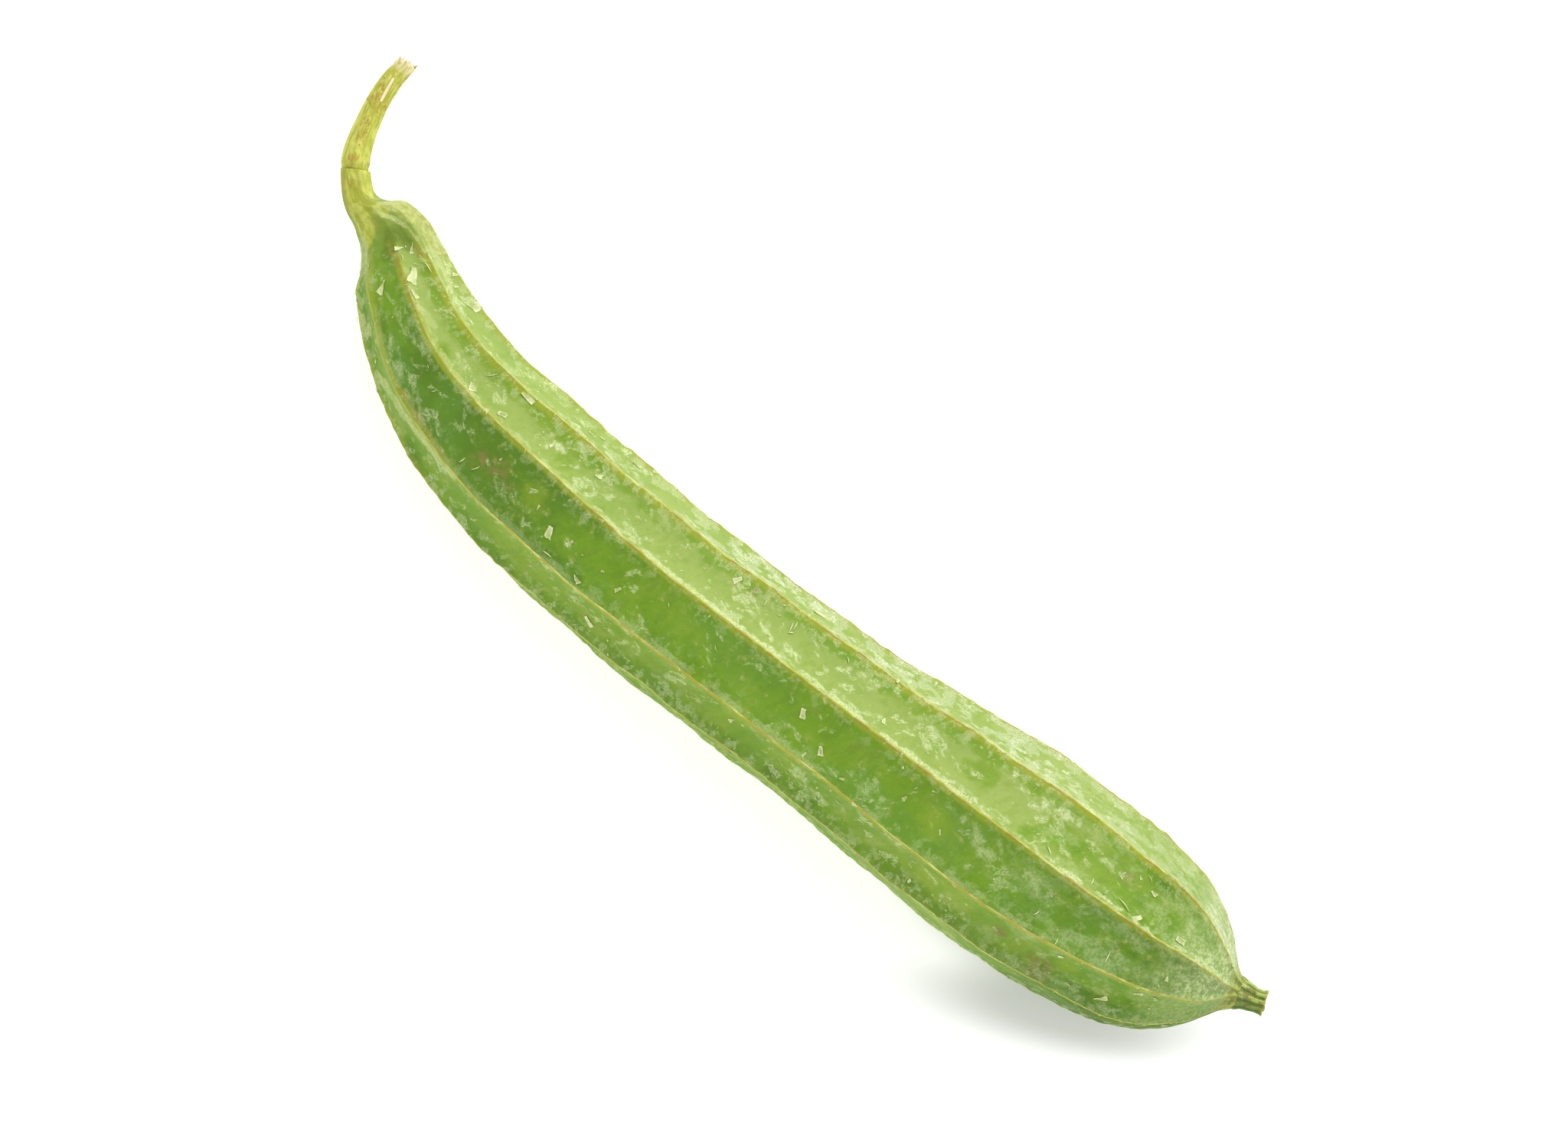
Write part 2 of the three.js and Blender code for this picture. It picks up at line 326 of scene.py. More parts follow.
def rind_surface(along):
    """The rind's rings, its two end points, and what the finish needs to know about each point.
    radius = (half width + swell of the crest) * (1 - ridge * valley) + cord - nick + lumps, where
    valley = (sin(pi * share)^2 + rounding^2)^(power / 2), less its value at the crest."""
    x, y, half_width, heading, ridge = (column[:, None, None] for column in
                                        between(FRUIT_STATIONS, along).T)
    heading = np.radians(heading)
    relief = ridge / FULL_RIDGE
    share = SHARES[None, None, :]
    wander = CREST_WANDER * uneven_mix(waver, along, WANDER_WAVES)
    crest = np.radians(between(CREST_STATIONS, along)) + wander / half_width[:, :, 0]
    crest = np.concatenate([crest, crest[:, :1] + 2 * np.pi], axis=1)
    gap = (crest[:, 1:] - crest[:, :-1])[:, :, None]
    angle = crest[:, :-1, None] + gap * share

    from_crest = np.minimum(share, 1 - share) * gap * half_width
    edge = np.minimum(CREST_HALF_WIDTH / (gap * half_width), 0.1)
    climb = np.sin(np.pi * np.clip((share - edge) / (1 - 2 * edge), 0, 1))
    power = NECK_POWER + (VALLEY_POWER - NECK_POWER) * smooth_step(along, 14, 50)[:, None, None]
    valley = (climb**2 + ROUNDING**2) ** (power / 2) - ROUNDING**power

    phase = 2 * np.pi * along[:, None] / SWELL_LENGTH + SWELL_SHIFT * np.arange(CRESTS)
    swell = CREST_SWELL * np.sin(phase)
    nick = CREST_NICKS * uneven_mix(waver, along, NICK_WAVES)

    def across(values):
        ahead = np.roll(values, -1, axis=1)
        return values[:, :, None] * (1 - share) + ahead[:, :, None] * share

    cord = CORD_HEIGHT * np.exp(-((from_crest / CORD_WIDTH) ** 2)) * relief
    radius = (half_width + across(swell) * relief * (1 - valley)) * (1 - ridge * valley)
    radius = radius + cord + across(nick) * relief * np.exp(-((from_crest / NICK_REACH) ** 2))
    round_place = np.stack(np.broadcast_arrays(
        half_width * np.sin(angle), half_width * np.cos(angle), along[:, None, None]), axis=-1)
    floor_lumps = uneven_mix(lumps, round_place, FLOOR_LUMPS)
    radius = radius + VALLEY_LUMPS * floor_lumps * (0.3 + 0.7 * valley) * smooth_step(
        along, 4, 20)[:, None, None]

    def plan(radius):
        return (x - np.sin(heading) * radius * np.sin(angle),
                y + np.cos(heading) * radius * np.sin(angle))

    plan_x, plan_y = plan(radius)
    for dent_x, dent_y, size, height in NECK_DENTS:
        away = np.hypot(plan_x - dent_x, plan_y - dent_y) / size
        radius = radius + height * np.exp(-(away**2)) * (np.cos(angle) > 0)
    z = np.maximum(middle_height(x) + radius * np.cos(angle), 0)
    rings = np.stack([*plan(radius), z], axis=-1)
    rows = (len(along), CRESTS * STEPS)
    facts = {
        "from_crest": from_crest.reshape(rows),
        "side": np.tile(np.where(SHARES == 0, 0, np.where(SHARES < 0.5, 1, -1)), CRESTS),
        "relief": relief[:, 0],
        "straight": round_place.reshape(*rows, 3),
        "along": along[:, None],
    }
    ends = np.concatenate([x, y, middle_height(x)], axis=-1)[[0, -1], 0]
    return rings.reshape(*rows, 3), ends, facts


rind_rings, rind_ends, rind_facts = rind_surface(fruit_rows)
print("height of the rind in mm:", round(rind_rings[..., 2].max(), 1))

# %% Where the camera sees a skin
FOCAL = LENS / SENSOR * PICTURE[0]


class SeenSkin:
    """A stack of rings, its outward directions, and where the camera sees each point of it."""

    def __init__(self, rings):
        onward = np.gradient(rings, axis=0)
        round_way = np.roll(rings, -1, axis=1) - np.roll(rings, 1, axis=1)
        normals = np.cross(onward, round_way)
        self.normals = normals / (np.linalg.norm(normals, axis=2)[..., None] + 1e-12)
        self.rings = rings
        offset = rings - CAMERA_PLACE
        self.picture_x = PICTURE[0] / 2 - FOCAL * (offset @ PICTURE_RIGHT) / offset[..., 2]
        self.picture_y = PICTURE[1] / 2 + FOCAL * (offset @ PICTURE_UP) / offset[..., 2]

    def under(self, pixel_x, pixel_y):
        """The place and the outward direction of the skin that the camera sees at a pixel."""
        miss = np.hypot(self.picture_x - pixel_x, self.picture_y - pixel_y)
        miss = np.where(self.normals[..., 2] > 0.05, miss, np.inf)
        nearest = np.unravel_index(np.argmin(miss), miss.shape)
        return self.rings[nearest], self.normals[nearest]

    def marked(self, paths):
        """1 along each path and falling to 0 past its half width. A path is a list of picture x
        and y in pixels and half width in mm, and it runs straight from one to the next."""
        mask = np.zeros(self.rings.shape[:2])
        for path in paths:
            stops = [(self.under(x, y)[0], width) for x, y, width in path]
            for (start, wide), (end, slim) in zip(stops[:-1], stops[1:]):
                way = end - start
                t = np.clip((self.rings - start) @ way / (way @ way + 1e-9), 0, 1)
                away = np.linalg.norm(self.rings - start - t[..., None] * way, axis=-1)
                mask = np.maximum(mask, smooth_step(away / (wide + (slim - wide) * t), 1.5, 0.3))
        return mask


def spot(x, y, radius):
    """A round mark, as a path that stays where it is."""
    return [(x, y, radius), (x, y, radius)]


seen_rind = SeenSkin(rind_rings)
print("picture box of the rind:", [round(float(v)) for v in (
    seen_rind.picture_x.min(), seen_rind.picture_y.min(),
    seen_rind.picture_x.max(), seen_rind.picture_y.max())])

# %% [markdown]
# ## Masks for the colours
# The colours change from valley to valley and towards both ends. Some valleys are a paler green
# than others, and one that was rubbed less keeps most of its wax. Under the blossom end the
# lowest valleys are painted dark, as shade. The stem's yellow-green runs on down one side of the
# neck, a pale shoulder bulges on the other side, and a hollow painted dark as shade lies where a
# valley starts. There are a few dull stains, some patches of a lighter yellow-green, and patches
# of a deeper green in pale valleys. These masks are soft and large, so a value at each point of
# the rind is fine enough for them. They could be painted by hand on the mesh, but numbers keep
# them in place when the mesh is made finer.

# %% Tones, wax and flanks of each valley
# how pale the valley after each crest is, in its near and its far half: 0 is a deep green and 1
# a pale one. Then what the neck adds to that, and what takes over at the blossom end
VALLEY_TONES = np.array([0.5, 0.45, 0.5, 0.5, 0.1, 1.05, 1.5, 0.7, 0.55, 0.5])
FAR_TONES = np.array([0.5, 0.45, 0.5, 0.5, 0.1, 1.05, 1.4, 0.65, 0.55, 0.5])
NECK_TONES = np.array([0.0, 0.0, 0.0, 0.0, -0.65, -0.1, 0.0, 0.0, 0.0, 0.0])
# at the blossom end the three lowest valleys, most of all the far half of the third, are painted
# dark as shade
TIP_TONES = np.array([-0.3, -0.4, -1.0, 0.0, -0.4, -0.05, 0.8, 0.4, 0.2, -0.2])
TIP_FAR_TONES = np.array([-0.3, -0.5, -1.8, 0.0, -0.3, 0.35, 0.8, 0.4, 0.2, -0.2])
# how much wax lies in the near and the far half of each valley, and how frosty its end is
VALLEY_WAX = np.array([0.4, 0.3, 0.15, 0.25, 0.1, 0.35, 1.0, 0.4, 0.4, 0.4])
FAR_WAX = np.array([0.4, 0.3, 0.15, 0.25, 0.1, 0.35, 0.85, 0.4, 0.4, 0.4])
TIP_FROSTS = np.array([0.3, 0.1, 0.0, 0.4, 0.75, 0.9, 0.85, 0.7, 0.5, 0.4])
# how dark the flank is on the near and the far side of each valley, how much white wax lies
# along its near crest, and how strong the yellow-green edge is under its far crest
NEAR_FLANKS = np.array([0.5, 0.5, 0.7, 1.3, 0.3, 0, 0, 0.2, 0.3, 0.4])
FAR_FLANKS = np.array([0.5, 0.5, 0.5, 0, 0.35, 1.35, 0.1, 0.3, 0.5, 0.5])
CREST_WAX = np.array([0.3, 0.3, 0.2, 0.1, 0.35, 1, 0.85, 0.5, 0.4, 0.3])
CREST_EDGES = np.array([0.4, 0.4, 0.3, 0.9, 0.8, 1, 0.5, 0.4, 0.4, 0.4])
# along the fruit, where the tones go over to those of the blossom end and to those of the neck
TIP_CHANGE, NECK_CHANGE, NECK_FADE = (232.0, 286.0), (28, 52), (135, 90)

to_tip = smooth_step(fruit_rows, *TIP_CHANGE)[:, None]
on_neck = (smooth_step(fruit_rows, *NECK_CHANGE) * smooth_step(fruit_rows, *NECK_FADE))[:, None]
across_valley = smooth_step(np.tile(SHARES, CRESTS), 0.3, 0.7)


def by_valley(near, far=None):
    """A value for each point of a ring from a value for each valley. It can go over from one
    value on the near side of the valley to another on the far side."""
    far = near if far is None else far
    return np.repeat(near, STEPS) * (1 - across_valley) + np.repeat(far, STEPS) * across_valley


tip_tone = by_valley(TIP_TONES, TIP_FAR_TONES)
rind_facts["tone"] = by_valley(VALLEY_TONES, FAR_TONES) * (1 - to_tip) + tip_tone * to_tip
rind_facts["tone"] += by_valley(NECK_TONES) * on_neck
rind_facts["waxy"] = by_valley(VALLEY_WAX, FAR_WAX)
rind_facts["frost"] = by_valley(TIP_FROSTS)
rind_facts["flank"] = by_valley(NEAR_FLANKS, FAR_FLANKS)
rind_facts["crest_wax"] = by_valley(CREST_WAX, 0 * CREST_WAX)
rind_facts["edge"] = by_valley(0 * CREST_EDGES, CREST_EDGES)
print("facts by valley:", sorted(rind_facts))

# %% Marks placed one by one
# where the camera sees each mark: picture x and y in pixels, and half width in mm
FLARE = [[(466, 236, 6.5), (468, 262, 6.0), (474, 290, 4.6), (480, 318, 1.6)],
         [(480, 256, 3.4), (490, 272, 2.4), (500, 279, 1.5)]]
SHOULDER = [[(512, 268, 2.6), (538, 274, 4.2), (552, 288, 4.2), (566, 310, 3.2), (574, 326, 2.0)]]
HOLLOW = [[(514, 301, 2.0), (525, 310, 2.2), (534, 322, 1.7)],
          [(514, 302, 2.2), (508, 322, 2.2), (506, 336, 1.4)]]
PALE_MARKS = [
    [(491, 275, 0.9), (500, 281, 0.7), (512, 284, 0.7), (531, 297, 0.45), (545, 312, 0.4),
     (556, 330, 0.35)],
    [(498, 266, 1.4), (520, 264, 2.4)],
    [(560, 318, 0.6), (574, 345, 1.4), (590, 376, 1.0)],
    [(474, 322, 2.6), (475, 350, 3.4), (475, 390, 3.4), (480, 430, 2.4)],
    [(482, 440, 1.3), (505, 505, 1.9), (545, 565, 1.9), (590, 622, 1.3)],
    [(548, 402, 0.8), (558, 415, 1.4), (566, 427, 0.7)],
]
BROWN_MARKS = [
    [(1200, 908, 0.3), (1215, 917, 0.6), (1252, 942, 0.4)],
    [(459, 238, 1.0), (463, 262, 0.7)],
    spot(496, 275, 0.5),
    [(505, 316, 0.6), (520, 348, 1.0), (533, 380, 0.9), (545, 410, 0.6)],
    [(545, 322, 0.8), (549, 335, 0.9)],
    [(490, 440, 0.5), (519, 505, 0.6), (566, 578, 0.7), (594, 612, 0.5)],
]
# clouds of loose wax
CLOUDS = [
    [(522, 404, 1.4), (536, 430, 2.4), (554, 456, 1.4)], [(566, 608, 1.2), (590, 622, 1.8)],
    [(500, 420, 0.9), (514, 458, 1.5), (530, 500, 2.1), (548, 538, 2.0), (566, 566, 1.2)],
    [(640, 622, 1.6), (668, 650, 2.4), (700, 690, 1.8)],
    [(1116, 1014, 1.8), (1136, 1034, 2.6), (1150, 1052, 1.6)],
    [(1262, 1072, 2.0), (1276, 1100, 2.6), (1306, 1126, 3.0), (1326, 1140, 1.6)],
    [(1348, 1142, 2.0), (1360, 1168, 3.2), (1372, 1186, 1.8)],
    [(978, 800, 0.8), (990, 816, 1.6), (1004, 834, 1.4)],
    [(1022, 842, 1.0), (1034, 852, 2.0), (1046, 864, 0.8)],
    [(1110, 880, 1.6), (1126, 892, 2.2), (1148, 892, 1.2)],
    [(1204, 942, 1.6), (1220, 962, 2.4), (1234, 982, 1.6)],
    [(1316, 1014, 1.6), (1330, 1022, 2.0), (1342, 1032, 0.9)],
    [(1348, 1044, 1.8), (1376, 1058, 3.0), (1406, 1072, 1.8)],
    [(702, 572, 1.4), (720, 580, 2.4), (736, 590, 1.2)], [(744, 572, 0.9), (764, 592, 1.4)],
    [(808, 694, 1.2), (828, 702, 2.0), (850, 708, 1.0)],
    [(1030, 996, 1.4), (1044, 1016, 2.2), (1060, 1036, 1.4)],
    [(968, 724, 1.2), (1000, 742, 1.2)], [(1056, 790, 1.2), (1070, 800, 1.8), (1086, 810, 1.2)],
    [(1420, 1100, 0.8), (1440, 1124, 1.4), (1466, 1146, 1.2)],
    [(1184, 980, 0.6), (1215, 1004, 0.9), (1250, 1030, 1.1), (1290, 1058, 1.3), (1322, 1078, 1.0)],
    [(1244, 990, 0.8), (1262, 1006, 1.2), (1284, 1014, 0.8)],
]
STAINS = [
    spot(630, 598, 2.6), spot(652, 612, 3.0), spot(662, 637, 1.3), spot(1356, 1262, 4.0),
    spot(986, 776, 1.8), spot(1470, 1150, 1.6), spot(1304, 1216, 2.2),
]
# patches of a lighter yellow-green, and patches where a pale valley is a deeper green
YELLOWER_PATCHES = [
    [(1205, 1140, 3.0), (1225, 1160, 4.2), (1262, 1180, 3.4)],
    spot(1394, 1262, 3.4), spot(1222, 1072, 5.5), spot(966, 936, 4.5), spot(698, 650, 4.5),
]
DEEPENED = [
    [(1345, 1085, 2.4), (1375, 1093, 4.0), (1412, 1112, 3.4)], spot(576, 456, 2.2),
    [(1262, 1004, 2.8), (1292, 1017, 3.2)],
]
print("clouds of wax:", len(CLOUDS), "pale and brown marks:", len(PALE_MARKS), len(BROWN_MARKS))

# %% The rind
for key, paths in (("flare", FLARE), ("shoulder", SHOULDER), ("hollow", HOLLOW),
                   ("pale_mark", PALE_MARKS), ("brown_mark", BROWN_MARKS), ("cloud", CLOUDS),
                   ("stain", STAINS), ("sunned", YELLOWER_PATCHES), ("deepened", DEEPENED)):
    rind_facts[key] = seen_rind.marked(paths)

rind = ringed_piece("rind", rind_rings, rind_ends, "fruit_skin", "fruit", rind_facts)

# %% [markdown]
# ## The stalk
# What is left of the stem is a ribbed green stalk that bends up from the fruit's shoulder and
# ends in a ragged cut. It is a stack of rings square to its middle line. Fine lengthwise
# furrows run down it, and the cut face is closed by smaller and smaller rings whose heights are
# uneven, because a stalk tears rather than cuts. The first ring starts inside the rind, so no
# gap shows in the crease where the two meet.

# %% Rings round a bent tube
STRAIGHT_RADIUS = 3  # of a piece that is straightened for its patterns
SLOPE_REACH = 0.4  # to both sides of a place, for the slope of the middle line there


def tube_frame(stations, along):
    """The middle of each ring and its forward, sideways and up directions: forward is the
    middle line's slope, sideways is level, and up is square to both."""
    def middle(place):
        x, y, rise, _ = between(stations, place).T
        return np.stack([x, y, middle_height(x) + rise], axis=-1)

    length = stations[-1, 0]
    forward = middle(np.minimum(along + SLOPE_REACH, length))
    forward = forward - middle(np.maximum(along - SLOPE_REACH, 0))
    forward /= np.linalg.norm(forward, axis=1)[:, None]
    sideways = np.stack([-forward[:, 1], forward[:, 0], 0 * forward[:, 0]], axis=-1)
    sideways /= np.linalg.norm(sideways, axis=1)[:, None]
    return middle(along), forward, sideways, np.cross(forward, sideways)


def tube_rings(stations, along, reach, push):
    """Rings round a tube's middle line. reach is the way out from it at each angle, and push
    moves a point forward along it."""
    middle, forward, sideways, up = (row[:, None, :] for row in tube_frame(stations, along))
    angle = (2 * np.pi * np.arange(reach.shape[1]) / reach.shape[1])[None, :, None]
    out = sideways * np.sin(angle) + up * np.cos(angle)
    return middle + out * reach[:, :, None] + forward * push[:, :, None]


def tube_grid(length, rows, end_shares, sides):
    """The places along a tube, the share of the radius that each ring has, the angles round a
    ring, and where each point would be if the tube were straight. After its even rows the tube is
    closed by rings of smaller and smaller shares."""
    along = np.concatenate([np.linspace(0, length, rows), np.full(len(end_shares), length)])
    share = np.concatenate([np.ones(rows), end_shares])[:, None]
    angle = (2 * np.pi * np.arange(sides) / sides)[None, :]
    straight = np.stack(np.broadcast_arrays(
        STRAIGHT_RADIUS * np.sin(angle) * share, STRAIGHT_RADIUS * np.cos(angle) * share,
        along[:, None]), axis=-1)
    return along, share, angle, straight


print("middle of the cut:", tube_frame(STEM_STATIONS, STEM_STATIONS[-1:, 0])[0].round(1))

# %% The stalk
STALK_ROWS, STALK_SIDES = 130, 96
STALK_RIBS, STALK_RIB_SHARE = 5, 0.05
STALK_SINK = 0.9  # how far its first ring starts inside the rind
FURROWS = 0.07
CREASE_DEPTH, CREASE_WIDTH = 0.3, 0.7
CUT_SLANT = -0.3  # rise of the cut for each millimetre across it
CUT_LENGTH, CUT_TEAR = 3, 0.55
CUT_RINGS = (0.94, 0.8, 0.6, 0.38, 0.16)  # of the radius

stalk_length = STEM_STATIONS[-1, 0]
stalk_along, stalk_shrink, stalk_angle, stalk_round = tube_grid(
    stalk_length, STALK_ROWS, CUT_RINGS, STALK_SIDES)
lengthwise, crosswise = stalk_round * (1, 1, 0.07), stalk_round * (1, 1, 0)
stalk_radius = between(STEM_STATIONS, stalk_along)[:, 3:]
stalk_reach = stalk_radius * (1 + STALK_RIB_SHARE * np.cos(STALK_RIBS * stalk_angle))
stalk_reach = stalk_reach + FURROWS * lumps(lengthwise, 0.55, 21) + 0.1 * lumps(stalk_round, 2.4, 22)
crease = np.exp(-(((stalk_along - 0.2) / CREASE_WIDTH) ** 2))[:, None]
stalk_reach = (stalk_reach - CREASE_DEPTH * crease) * stalk_shrink
at_cut = smooth_step(stalk_along, stalk_length - CUT_LENGTH, stalk_length)[:, None]
tear = uneven_mix(lumps, crosswise, ((0.9, 0.7, 23), (0.5, 0.3, 24)))
stalk_push = at_cut * (CUT_SLANT * stalk_reach * np.sin(stalk_angle) + CUT_TEAR * tear)
stalk_push[0] -= STALK_SINK
stalk_rings = tube_rings(STEM_STATIONS, stalk_along, stalk_reach, stalk_push)
stalk_middle = stalk_rings.mean(axis=1)
print("stalk rings:", len(stalk_rings))

# %% The stalk's scars, its torn slit, and its mesh
SCARS = [[(484, 128, 1.5), (498, 142, 1.6)], [(500, 104, 1.0), (494, 132, 1.2)],
         [(476, 160, 1.3), (470, 184, 1.3)], spot(459, 205, 1.6), spot(516, 96, 1.0),
         spot(532, 100, 0.8), [(456, 222, 1.0), (462, 232, 0.9)]]
SLIT = [[(498, 131, 0.5), (506, 116, 0.55), (514, 103, 0.45)]]
seen_stalk = SeenSkin(stalk_rings)
stalk_facts = {
    "scar": seen_stalk.marked(SCARS),
    "slit": seen_stalk.marked(SLIT),
    "straight": stalk_round,
    "along": stalk_along[:, None],
    "cut": (np.arange(len(stalk_along)) >= STALK_ROWS - 1)[:, None],
}
stalk = ringed_piece(
    "stalk", stalk_rings, stalk_middle[[0, -1]], "stem_skin", "stem", stalk_facts)

# %% [markdown]
# ## The flower stub
# At the other end the fruit's veins run together into a short ribbed stub, where the flower sat.
# It has dried, so its ribs are sharp, its rim is torn and flared, and its end is hollow. It is
# again a stack of rings, and the last few go back down inside to make the hollow.

# %% The flower stub
STUB_ROWS, STUB_SIDES = 60, 144
STUB_RIBS, STUB_RIB_SHARE = 9, 0.1
STUB_SINK = 1.2
RIM_LENGTH, RIM_FLARE, RIM_TEETH = 1.6, 0.2, 0.45
# share of the radius and way back inside, of the rings in the hollow end
HOLLOW_RINGS = np.array([[0.88, 0.1], [0.76, 0.45], [0.6, 0.85], [0.36, 1.0], [0.14, 0.9]])

stub_length = STUB_STATIONS[-1, 0]
stub_along, stub_shrink, stub_angle, stub_round = tube_grid(
    stub_length, STUB_ROWS, HOLLOW_RINGS[:, 0], STUB_SIDES)
stub_back = np.concatenate([np.zeros(STUB_ROWS), HOLLOW_RINGS[:, 1]])[:, None]
stub_radius = between(STUB_STATIONS, stub_along)[:, 3:]
rib_wave = np.cos(STUB_RIBS * stub_angle + 0.5 * lumps(stub_round * (1, 1, 0.3), 3, 31))
rib_wave = np.sign(rib_wave) * np.abs(rib_wave) ** 0.8
stub_reach = stub_radius * (1 + STUB_RIB_SHARE * rib_wave) + 0.12 * lumps(stub_round, 1.1, 32)
at_rim = smooth_step(stub_along, stub_length - RIM_LENGTH, stub_length)[:, None]
stub_reach = (stub_reach + RIM_FLARE * at_rim**2) * stub_shrink
teeth = lumps(stub_round / stub_shrink[:, :, None] * (1, 1, 0), 1.2, 33)
stub_push = at_rim * RIM_TEETH * teeth * stub_shrink - stub_back
stub_push[0] -= STUB_SINK
stub_rings = tube_rings(STUB_STATIONS, stub_along, stub_reach, stub_push)
stub_middle = stub_rings.mean(axis=1)
stub_facts = {
    "straight": stub_round,
    "along": stub_along[:, None],
    "rib": rib_wave,
    # the side away from the key light, towards -Y, which the finish darkens as painted shade
    "low": smooth_step(-np.sin(stub_angle), 0.0, 0.8),
    "inside": (np.arange(len(stub_along)) >= STUB_ROWS)[:, None],
}
flower_stub = ringed_piece(
    "flower_stub", stub_rings, stub_middle[[0, -1]], "dry_flower_stub", "blossom_end", stub_facts)

# %% [markdown]
# ## Flakes and fibres
# Thin scraps of dry skin and short pale fibres lie on the rind, most of them a few millimetres
# long. Each flake is a curled plate with a thickness, and each fibre a slim bent strand. The ones
# that catch the eye are placed one by one, by where they stand in the picture. The rest are
# scattered by a seeded draw over the upper half. A particle system would scatter them too, but
# plain meshes stay with the part when it is exported.

# %% Where a flake lies
FLAKE_THICKNESS = 0.12
# picture x and y in pixels, length and width in mm, heading in the picture in degrees, pinch
# (0 leaves a four-sided plate and 1 makes a triangle)
PLACED_FLAKES = [
    (498, 374, 3.6, 2.0, 60, 0.95), (538, 324, 2.8, 1.0, 80, 0.9), (521, 326, 2.2, 1.3, 10, 0.9),
    (539, 362, 4.4, 2.6, 65, 0.5), (541, 386, 2.8, 1.3, 115, 0.7), (595, 360, 1.8, 1.2, 10, 0.8),
    (618, 399, 3.4, 2.8, 135, 0.2), (617, 507, 2.6, 2.2, 75, 0.8), (655, 541, 2.2, 1.6, 160, 0.3),
    (690, 520, 3.8, 1.3, 130, 0.3), (717, 695, 3.0, 1.9, 60, 0.4), (742, 710, 2.0, 1.2, 25, 0.5),
    (781, 621, 1.7, 1.2, 150, 0.4), (799, 631, 2.0, 0.9, 60, 0.8), (830, 608, 2.4, 1.1, 150, 0.6),
    (976, 731, 2.2, 1.3, 40, 0.7), (963, 757, 2.4, 1.5, 15, 0.4), (1070, 802, 3.4, 1.6, 150, 0.4),
    (1049, 933, 2.5, 1.6, 70, 0.3), (1070, 981, 2.4, 1.5, 80, 0.5), (1156, 942, 1.7, 1.1, 60, 0.6),
    (955, 941, 1.8, 1.2, 30, 0.9), (752, 758, 2.4, 1.4, 110, 0.9), (770, 812, 3.2, 1.1, 105, 0.3),
    (1439, 1304, 3.2, 1.6, 180, 0.95), (1487, 1200, 2.6, 1.6, 20, 0.5),
    (1540, 1229, 2.6, 1.8, 150, 0.2), (1466, 1143, 1.8, 1.2, 40, 0.9),
    (1507, 1168, 1.7, 1.2, 120, 0.6), (1487, 1297, 2.0, 1.1, 160, 0.6),
    (1524, 1281, 1.4, 1.0, 70, 0.8), (1387, 1249, 1.5, 0.9, 20, 0.6),
]
# picture x and y in pixels, length in mm, heading in the picture in degrees, bend in degrees
PLACED_FIBRES = [
    (561, 350, 4.0, 122, 10), (1030, 822, 3.2, 62, 15), (1039, 817, 2.8, 58, 10),
    (1034, 826, 1.6, 5, 10), (1001, 788, 2.2, 55, 30), (1109, 864, 2.0, 95, 20),
    (715, 723, 3.0, 140, 20), (620, 612, 2.6, 15, 40), (606, 600, 2.2, 30, 30),
    (640, 491, 3.2, 10, 25), (1370, 1112, 3.0, 97, 8), (1424, 1153, 2.8, 55, 40),
    (1444, 1164, 1.8, 40, 110), (1468, 1186, 4.6, 118, 15), (1448, 1251, 3.4, 62, 8),
    (1393, 1287, 2.6, 130, 90), (1380, 1232, 2.2, 60, 15), (1352, 1195, 2.0, 30, 40),
]


def lie_on(normal, heading):
    """Two directions along the skin: the one nearest to a plan heading, and the one across it."""
    wanted = np.array([math.cos(heading), math.sin(heading), 0.0])
    lengthwise = wanted - normal * (wanted @ normal)
    lengthwise /= np.linalg.norm(lengthwise)
    return lengthwise, np.cross(normal, lengthwise)


print("placed flakes and fibres:", len(PLACED_FLAKES), len(PLACED_FIBRES))

# %% The shapes of a flake and of a fibre
FLAKE_GRID = (5, 4)
FLAKE_GAP = 0.1  # between a flake and the skin
STRAND_STEPS = 8
FIBRE_RADIUS = 0.16
draw = np.random.default_rng(7)


def flake_grid(reach):
    """Two coordinates of the points of a flake, from minus reach to reach."""
    return np.meshgrid(*(np.linspace(-reach, reach, count) for count in FLAKE_GRID), indexing="ij")


def flake(place, normal, heading, length, width, pinch):
    """A curled plate: length * u along it and (1 - pinch * u) * width * v across it, u and v
    from -1/2 to 1/2, raised by a curl that grows with the square of u, and lifted at one end."""
    u, v = flake_grid(0.5)
    lengthwise, across = lie_on(normal, heading)
    taper = 1 - pinch * (u + 0.5)
    lift = draw.uniform(0.02, 0.1) * length * (u + 0.5) ** 2 + draw.uniform(0, 0.2) * width * v**2
    jag = draw.uniform(-0.09, 0.09, (2, *u.shape)) * width
    flat = (length * u + jag[0])[..., None] * lengthwise
    flat = flat + (width * taper * v + 0.25 * width * u + jag[1])[..., None] * across
    middle = place + flat + (lift + FLAKE_GAP)[..., None] * normal
    thick = FLAKE_THICKNESS / 2 * normal
    points = np.stack([middle + thick, middle - thick]).reshape(-1, 3)
    top = np.arange(u.size).reshape(u.shape)
    cells = np.stack([top[:-1, :-1], top[1:, :-1], top[1:, 1:], top[:-1, 1:]], axis=-1)
    cells = cells.reshape(-1, 4)
    rim = np.concatenate([top[:-1, 0], top[-1, :-1], top[:0:-1, -1], top[0, :0:-1]])
    beyond = np.roll(rim, -1)
    walls = np.stack([rim, rim + u.size, beyond + u.size, beyond], axis=-1)
    quads = np.concatenate([cells, cells[:, ::-1] + u.size, walls])
    return points, quads, np.zeros((0, 3), int)


def flake_body(thinness):
    """How much of the light each point of a flake stops: all at its rim, and less inside."""
    u, v = flake_grid(1)
    inside = (1 - u**2) * (1 - v**2)
    body = 0.95 - thinness * np.clip(1.6 * inside, 0, 1)
    return np.tile(body.ravel(), 2)


